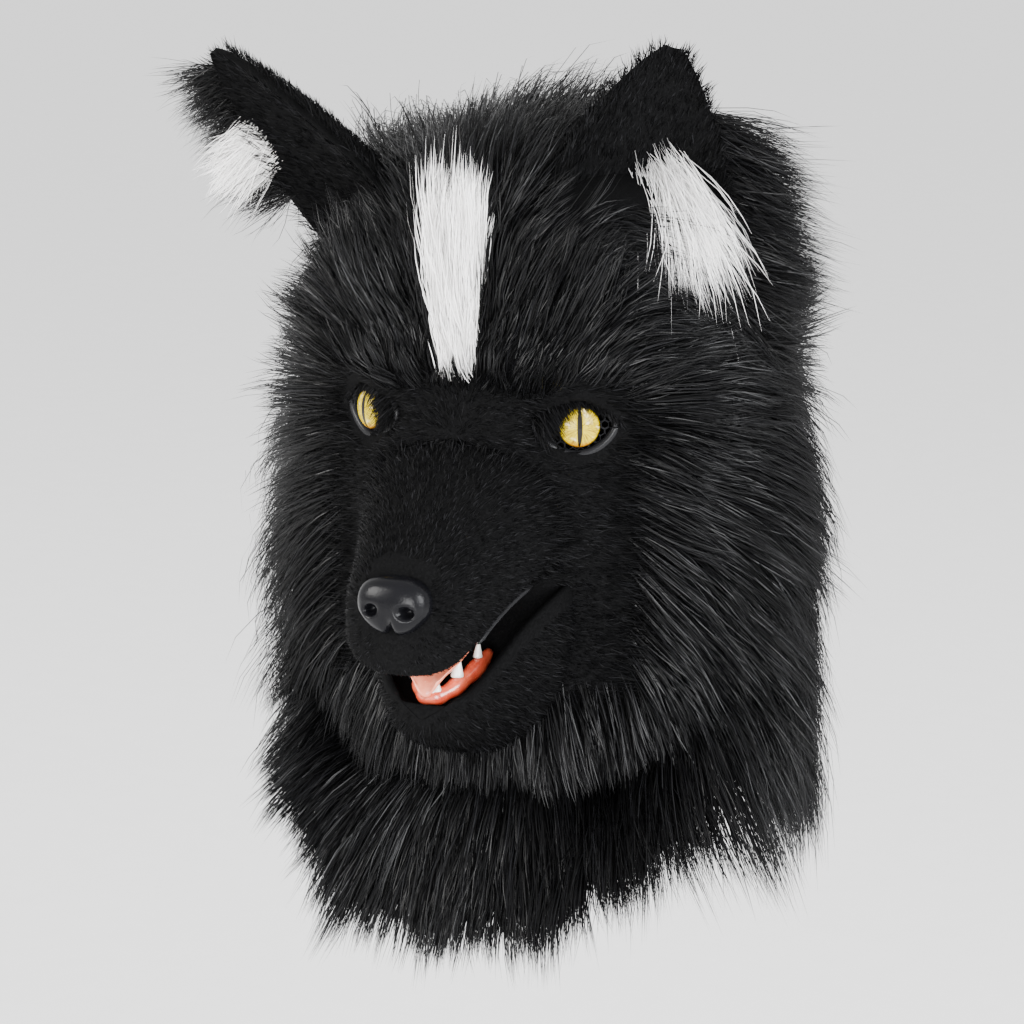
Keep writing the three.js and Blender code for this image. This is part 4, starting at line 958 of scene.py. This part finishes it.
def growFur(name, roots, normals, combs, lengths, lifts, look, material, replaced, slotName="black_fur"):
    # strand: root + sum of L ds heading(s), heading = comb + lift (1 - s)^droop normal - sag s up, drawn to
    # its clump's strand by clump s^1.4 and waved to the side by wave s sin(phase + 4.2 s)
    count, steps = len(roots), look["segments"]
    share = np.linspace(0, 1, steps + 1)
    normals = np.broadcast_to(normals, (count, 3))
    combs = unit(combs - dot(combs, normals) * normals)
    combs = unit(combs + look["stray"] * rng.normal(size=(count, 3)))
    lengths = lengths * (1 + look["uneven"] * rng.normal(size=count).clip(-2, 2))
    lifts = lifts * (1 + 0.35 * rng.normal(size=count).clip(-2, 2))
    middles = (share[1:] + share[:-1]) / 2
    lifted = normals[:, None] * lifts[:, None, None] * (1 - middles[:, None]) ** look["droop"]
    sagging = look["sag"] * middles[:, None] * np.array([0, 0, 1.0])
    heading = unit(combs[:, None] + lifted - sagging)
    legs = heading * (lengths[:, None, None] / steps)
    path = roots[:, None] + np.concatenate([np.zeros((count, 1, 3)), np.cumsum(legs, 1)], 1)
    clumps = max(2, int(count * look["clumpShare"]))
    owner = nearest(roots, roots[:clumps])
    pull = look["clump"] * share**1.4
    path = path + (path[owner] - path) * pull[:, None] * (0.6 + 0.4 * rng.random((count, 1, 1)))
    beside = unit(np.cross(heading[:, 0], normals))
    phase = (rng.random(clumps) * 2 * np.pi)[owner, None] + rng.normal(size=(count, 1)) * 0.4
    wave = look["wave"] * share * np.sin(phase + 4.2 * share)
    path = path + wave[..., None] * beside[:, None]
    twist = rng.uniform(-1, 1, count)[:, None] * np.radians(look["twist"])
    along = unit(np.concatenate([heading[:, :1], heading], 1))
    turned = np.cross(beside[:, None], along)
    flat = unit(beside[:, None] * np.cos(twist)[:, None] + turned * np.sin(twist)[:, None])
    taper = np.interp(share, (0, 0.4, 0.8, 1), (0.75, 1, 0.6, 0))[None, :, None] * 0.5 * look["width"]
    left, right = (path - flat * taper)[:, :-1], (path + flat * taper)[:, :-1]
    sides = np.stack([left, right], 2).reshape(count, -1, 3)
    vertices = np.concatenate([sides, path[:, -1:]], 1)
    base = np.arange(count)[:, None, None] * (2 * steps + 1)
    ladder = np.arange(steps - 1)[:, None] * 2 + np.array([0, 1, 3, 2])
    tip = np.array([[2 * steps - 2, 2 * steps - 1, 2 * steps]])
    column = (rng.integers(0, 256, count)[:, None] + [[0.2, 0.8]]) / 256
    along = np.broadcast_to(share[:-1, None], (count, steps, 2))
    uvs = np.stack([np.broadcast_to(column[:, None], (count, steps, 2)), along], -1).reshape(count, -1, 2)
    uvs = np.concatenate([uvs, np.stack([column.mean(1), np.ones(count)], -1)[:, None]], 1)
    sets = [(ladder[None] + base).reshape(-1, 4), (tip[None] + base).reshape(-1, 3)]
    addPiece(name, vertices, sets, material, replaced, slotName, uvs)
    print(f"{name}: {count} strands, {count * (2 * steps - 1)} triangles")


# Groom of the long fur on the left half: place, comb, length and lift. The right half mirrors it.
guides = np.array([
    (0, -86, -60, 0.0, 0.1, 1.0, 34, 0.6),
    (0, -86, -95, 0.0, 0.1, 1.0, 20, 0.3),
    (45, -75, -60, 0.35, 0.1, 1.0, 36, 0.55),
    (22, -85, -96, 0.3, -0.1, 1.0, 16, 0.3),
    (52, -76, -96, 0.5, -0.1, 0.8, 18, 0.35),
    (0, -60, -10, 0.0, 0.3, 1.0, 48, 0.9),
    (0, 0, 4, 0.0, 0.7, 0.6, 62, 1.3),
    (70, 0, -15, 0.5, 0.8, 0.4, 48, 0.9),
    (0, 80, -25, 0.0, 0.8, -0.2, 42, 0.7),
    (0, 115, -100, 0.0, 0.1, -1.0, 46, 0.55),
    (60, 95, -100, 0.4, 0.3, -1.0, 54, 0.6),
    (0, 108, -200, 0.0, 0.05, -1.0, 56, 0.55),
    (0, 110, -280, 0.0, 0.05, -1.0, 46, 0.35),
    (105, 10, -70, 0.8, 0.5, 0.2, 56, 0.8),
    (112, 0, -130, 0.9, 0.4, -0.4, 60, 0.85),
    (110, -20, -190, 0.9, 0.3, -0.7, 60, 0.8),
    (75, -65, -130, 0.9, 0.2, -0.3, 38, 0.45),
    (70, -60, -190, 0.8, 0.1, -0.7, 46, 0.5),
    (78, -55, -85, 0.8, 0.3, 0.3, 38, 0.5),
    (82, -48, -108, 1.0, 0.3, 0.0, 40, 0.5),
    (62, -55, -32, 0.8, 0.3, -0.1, 20, 0.3),
    (42, -74, -34, 0.6, 0.2, 0.6, 32, 0.4),
    (84, -45, -52, 0.9, 0.2, -0.3, 26, 0.35),
    (96, -22, -58, 0.9, 0.2, -0.4, 34, 0.45),
    (105, 0, -240, 0.9, 0.1, -1.0, 74, 0.75),
    (88, -50, -275, 0.5, -0.1, -1.0, 72, 0.5),
    (70, -75, -280, 0.3, -0.1, -1.0, 84, 0.45),
    (95, -35, -262, 0.4, 0.0, -1.0, 82, 0.5),
    (100, 50, -245, 0.6, 0.3, -1.0, 60, 0.6),
    (60, -80, -290, 0.3, -0.2, -1.0, 56, 0.5),
    (0, -95, -300, 0.0, -0.3, -1.0, 50, 0.5),
    (0, -98, -334, 0.0, -0.3, -1.0, 43, 0.5),
    (30, -92, -332, 0.15, -0.2, -1.0, 44, 0.5),
    (50, -86, -312, 0.25, -0.15, -1.0, 60, 0.45),
    (0, -75, -255, 0.0, -0.2, -1.0, 32, 0.45),
    (60, -60, -258, 0.3, -0.2, -1.0, 42, 0.6),
    (95, -20, -236, 0.7, -0.1, -1.0, 66, 0.85),
])


def groomAt(points):
    # guides blended by the inverse fourth power of the distance, softened close by
    mirrored = points.copy()
    side = np.where(points[:, :1] < 0, -1.0, 1.0)
    mirrored[:, :1] *= side
    away = ((mirrored[:, None] - guides[None, :, :3]) ** 2).sum(-1) + 60.0
    weight = away**-2
    blended = weight @ guides[:, 3:] / weight.sum(1, keepdims=True)
    blended[:, :1] *= side
    return blended[:, :3], blended[:, 3], blended[:, 4]


longLook = {
    "segments": 4,
    "stray": 0.1,
    "uneven": 0.18,
    "droop": 1.0,
    "sag": 0.25,
    "clump": 0.68,
    "clumpShare": 0.045,
    "wave": 1.6,
    "twist": 70,
    "width": 0.5,
}
blaze = {
    "bottom": -99,
    "top": -38,
    "half": 12,
    "narrow": 8,
}


def blazeShare(points):
    # 1 on the white streak up the forehead, which widens from its bottom
    x, z = np.abs(points[:, 0]), points[:, 2]
    half = blaze["narrow"] + (blaze["half"] - blaze["narrow"]) * smooth(z, blaze["bottom"], -45)
    inside = smooth(x, half + 2, half - 2) * smooth(z, blaze["bottom"] - 2, blaze["bottom"] + 9)
    return inside * (z < blaze["top"]) * (points[:, 1] < 0)


def clearOfLids(points, margin):
    covered = [insideLid(axes, points, -margin) for axes in eyeAxes.values()]
    return 1.0 * ~np.any(covered, axis=0)


def longFurArea(points):
    covered = [insideEar(axes, points, 3) for axes in earAxes.values()]
    return ~np.any(covered, axis=0) * (1 - blazeShare(points)) * clearOfLids(points, 5)


rightSide = {  # its long fur is longer above and shorter below, by this share
    "share": 0.42,
    "across": (30, 80),
    "fuller": (-230, -150),
    "sparser": (215, 250),
}


def makeLongFur(name, surface, turns, ways, count, node, look):
    roots, normals, _ = scatter(surface, turns, ways, count, longFurArea)
    combs, lengths, lifts = groomAt(roots)
    x, _, z = roots.T
    change = smooth(z, *rightSide["fuller"]) - smooth(-z, *rightSide["sparser"])
    lengths *= 1 + rightSide["share"] * smooth(-x, *rightSide["across"]) * change
    growFur(name, roots - normals, normals, combs, lengths, lifts, look, blackFur, [node])


def seamPoint(turn, way):
    # from crown latitude (way 0) to the neck seam (way 1)
    return headPoint(turn, 0.36 + way * (curveAt(neckSeam, 1, folded(turn)) - 0.36))


crownLook = {**longLook, "uneven": 0.24, "stray": 0.17}
furPatches = {  # surface, turns, ways, strands, replaced node
    "crownFur": (headPoint, (0, 360), (0.01, 0.36), 15000, "crown_fur"),
    "foreheadFur": (headPoint, (-42, 42), (0.36, 0.545), 6000, "forehead_fur"),
    "cheekFurLeft": (seamPoint, (40, 128), (0, 1), 15000, "cheek_fur_left"),
    "cheekFurRight": (seamPoint, (-128, -40), (0, 1), 11000, "cheek_fur_right"),
    "backFur": (seamPoint, (128, 232), (0, 1), 9500, "back_fur"),
    "throatFur": (headPoint, (-42, 42), (0.9, 1.0), 2500, "throat_fur"),
    "bibFur": (neckPoint, (-60, 60), (0, 1), 11500, "bib_fur"),
    "neckFurLeft": (neckPoint, (60, 128), (0, 1), 7500, "neck_fur_left"),
    "neckFurRight": (neckPoint, (-128, -60), (0, 1), 4000, "neck_fur_right"),
    "neckFurBack": (neckPoint, (128, 232), (0, 1), 6000, "neck_fur_back"),
}
for name, (surface, turns, ways, count, node) in furPatches.items():
    look = crownLook if name == "crownFur" else longLook
    makeLongFur(name, surface, turns, ways, count, node, look)
print("long fur grown")

blazeLook = {**longLook, "width": 0.45, "stray": 0.1, "wave": 1.0, "clump": 0.55, "uneven": 0.3}


def makeBlaze():
    roots, normals, _ = scatter(headPoint, (-20, 20), (0.1, 0.52), 3500, blazeShare)
    combs = stack(0.003 * roots[:, 0], 0.1, 1)
    lengths = 22 + 20 * smooth(roots[:, 2], blaze["bottom"], -45)
    growFur("blaze", roots, normals, combs, lengths, 0.65, blazeLook, whiteFur, ["forehead_blaze"],
            "white_fur")


makeBlaze()

shortLook = {
    "segments": 2,
    "stray": 0.25,
    "uneven": 0.2,
    "droop": 1.0,
    "sag": 0.1,
    "clump": 0.25,
    "clumpShare": 0.1,
    "wave": 0.15,
    "twist": 70,
    "width": 0.4,
}
browLook = {**shortLook, "segments": 3, "width": 0.45, "stray": 0.2}
earLook = {**shortLook, "width": 0.45}


def growPile(name, roots, normals, combs, lengths, lifts, look=shortLook):
    growFur(name, roots, normals, combs, lengths, lifts, look, shortFur, (), "short_pile")


def faceArea(points):
    # bare at the lids and behind the muzzle and the jaw
    x, z = np.abs(points[:, 0]), -points[:, 2]
    return clearOfLids(points, 2.4) * ~((x < 42) & (z > 132) & (z < 225))


def faceFur():
    roots, normals, turn = scatter(clothPoint, (-46, 46), (0.5, 0.93), 11000, faceArea)
    combs = stack(roots[:, 0] * 0.02, 0.5, 0.25 * smooth(roots[:, 2], -130, -100) - 0.1)
    edge = smooth(np.abs(turn), 30, 46)
    growPile("facePile", roots, normals, combs, 4 + 14 * edge, 0.6)


def muzzleSurface(turn, reach):
    return muzzleAt(turn, 1 - reach)


def muzzleArea(points):
    # bare under the nose pad and inside the head
    x, y, z = points.T
    tip = (y < -muzzle["length"] * nose["bareReach"]) & (z > -nose["drop"] - nose["bareFall"])
    behind = y > onFace(x, z)[:, 1] + 2
    return 1.0 * ~((tip & (np.abs(x) < nose["bareHalf"])) | behind)


def muzzleFur():
    roots, normals, _ = scatter(muzzleSurface, (0, 360), (0.004, 0.66), 13000, muzzleArea, -1)
    combs = stack(roots[:, 0] * 0.006, 1, -0.25 * smooth(-roots[:, 2], 170, 200))
    root = smooth(roots[:, 1], -105, -82)  # longer and steeper where the muzzle leaves the face
    lip = smooth(-roots[:, 2], 192, 212)
    growPile("muzzlePile", roots, normals, combs, 3.2 + 5 * root - 1.6 * lip, 0.6 + 0.8 * root)


def jawSurface(turn, reach):
    return jawAt(turn, 1 - reach)


def jawFur():
    roots, normals, _ = scatter(jawSurface, (92, 268), (0.004, 0.5), 6000, way=-1)
    combs = stack(roots[:, 0] * 0.006, 1, -0.3)
    growPile("jawPile", roots, normals, combs, 4.5, 0.6)


brow = {  # spreads of the roots about the upper lid, and the lengths
    "strands": 1500,
    "arc": (8, 172),
    "rise": (-1, 4),
    "wide": (-1, 3),
    "out": (0, 2.5),
    "length": 10,
    "longerInward": 5,
    "lift": 0.9,
}


def browFur(name, axes):
    # fringe over the top of the eye, rooted along the upper lid
    across, up, out = axes[1:]
    count = int(brow["strands"] * fullness)
    angle = np.radians(rng.uniform(*brow["arc"], count))
    line = lidReach(np.cos(angle), True, 0) + rng.uniform(*brow["rise"], count)
    half = eyes["lidWidth"] / 2 + rng.uniform(*brow["wide"], count)
    reach = half * np.cos(angle) - eyes["noseward"] * eyes["lidWidth"]
    roots = inFrame(axes, reach, line, rng.uniform(*brow["out"], count))
    combs = 0.5 * across + 0.45 * out - 0.9 * up
    lengths = brow["length"] - brow["longerInward"] * np.cos(angle)
    growPile(f"brow{name}", roots, out, combs, lengths, brow["lift"], browLook)


for name, axes in eyeAxes.items():
    browFur(name, axes)
faceFur()
muzzleFur()
jawFur()

tuftLook = {**longLook, "clump": 0.45, "clumpShare": 0.04, "sag": 0.1, "stray": 0.22, "wave": 1.4,
            "width": 0.36, "droop": 0.6}
earFaces = {"Back": (-1, 4500, 5), "Front": (1, 4000, 4)}  # way, strands, length
earTufts = {  # root's middle and spread in across and rise, comb across and up, lift and length
    "Left": ((0.34, 0.36), (0.14, 0.07), (0.42, -1.0), 1.3, 62),
    "Right": ((0.93, 0.56), (0.05, 0.045), (0.6, -0.05), 0.6, 36),
}
earFringes = {  # lowest and highest root in rise, comb across and up, and length
    "Left": (0.0, 0.75, (1.0, -0.1), 58),
    "Right": (0.3, 0.95, (1.0, 0.15), 53),
}


def earPile(name, axes, face, way, count, length):
    # short pile on the front (way 1) or the back (way -1), its length + 4 across^4 longer at the rims
    across, up, facing = axes[1:4]

    def surface(u, v):
        return earPoint(axes, u, v, 0.5 * (way - 1) * ears["wall"])

    roots, _, u = scatter(surface, (-0.99, 0.99), (0.02, 0.985), count)
    lean = u[:, None] * across
    normals = unit(way * (facing - 0.6 * lean))
    growPile(f"ear{face}{name}", roots, normals, up + 0.4 * lean, length + 4 * u**4, 0.5, earLook)


def earTuft(name, axes, middle, spread, comb, lift, length):
    # white locks that hang from the cup
    across, up, facing = axes[1:4]
    count = int(2300 * fullness)
    u = np.clip(middle[0] + spread[0] * rng.normal(size=count), -0.9, 0.97)
    v = middle[1] + spread[1] * rng.normal(size=count)
    combs = comb[0] * across + comb[1] * up + 0.7 * (u[:, None] - u.mean()) * across
    growFur(f"earTuft{name}", earPoint(axes, u, v, 0), facing, combs, length * rng.uniform(0.5, 1.1, count),
            lift, tuftLook, whiteFur, [f"ear_tuft_{name.lower()}"], "white_fur")


def earFringe(name, axes, low, high, comb, length):
    # black locks along the outer rim
    across, up, facing = axes[1:4]
    count = int(2400 * fullness)
    u, v = rng.uniform(0.66, 1.0, count), low + (high - low) * rng.random(count)
    combs = comb[0] * across + comb[1] * up
    growFur(f"earFringe{name}", earPoint(axes, u, v, -0.5 * ears["wall"]), facing, combs,
            length * (1 - 0.25 * v), 0.3, tuftLook, blackFur, [f"ear_fringe_{name.lower()}"])


for name, axes in earAxes.items():
    for face, row in earFaces.items():
        earPile(name, axes, face, *row)
    earTuft(name, axes, *earTufts[name])
    earFringe(name, axes, *earFringes[name])
print("short fur grown")

# Floor, sky and softboxes
studio = {
    "floor": -620,
    "floorSize": 80000,
    "softboxes": (  # place, aim, size, watts, colour
        ((-1600, -1500, 600), (0, 0, -150), 1100, 80, (1.0, 0.98, 0.96)),
        ((1900, -900, 400), (0, 0, -160), 1200, 105, (0.97, 0.98, 1.0)),
        ((300, 1500, 1500), (0, 0, -80), 1200, 14, (1.0, 1.0, 1.0)),
        ((500, -2100, -200), (0, 0, -200), 900, 62, (1.0, 1.0, 1.0)),
    ),
    "sky": 1.6,
}


def makeStudio(setup):
    half, level = setup["floorSize"] / 2 * mm, setup["floor"] * mm
    mesh = bpy.data.meshes.new("floor")
    corners = [(-half, -half, level), (half, -half, level), (half, half, level), (-half, half, level)]
    mesh.from_pydata(corners, [], [(0, 1, 2, 3)])
    shader = Shader("floorPaper")
    grain = shader.noise(shader.place(), 40)
    paper = shader.mix(grain, (0.88, 0.88, 0.88), (0.92, 0.92, 0.92))
    mesh.materials.append(shader.finish(paper, 0.85 + 0.1 * grain))
    addObject("floor", mesh)
    world = bpy.data.worlds.new("studio")
    world.use_nodes = True
    sky = world.node_tree.nodes["Background"].inputs
    sky["Color"].default_value = (1, 1, 1, 1)
    sky["Strength"].default_value = setup["sky"]
    bpy.context.scene.world = world
    for index, (place, aim, size, watts, colour) in enumerate(setup["softboxes"]):
        light = bpy.data.lights.new(f"softbox{index}", "AREA")
        light.size = size * mm
        light.energy = watts
        light.color = colour
        addObject(light.name, light, viewAxes(unit(np.subtract(place, aim).astype(float))), place)


makeStudio(studio)
print("studio lit")
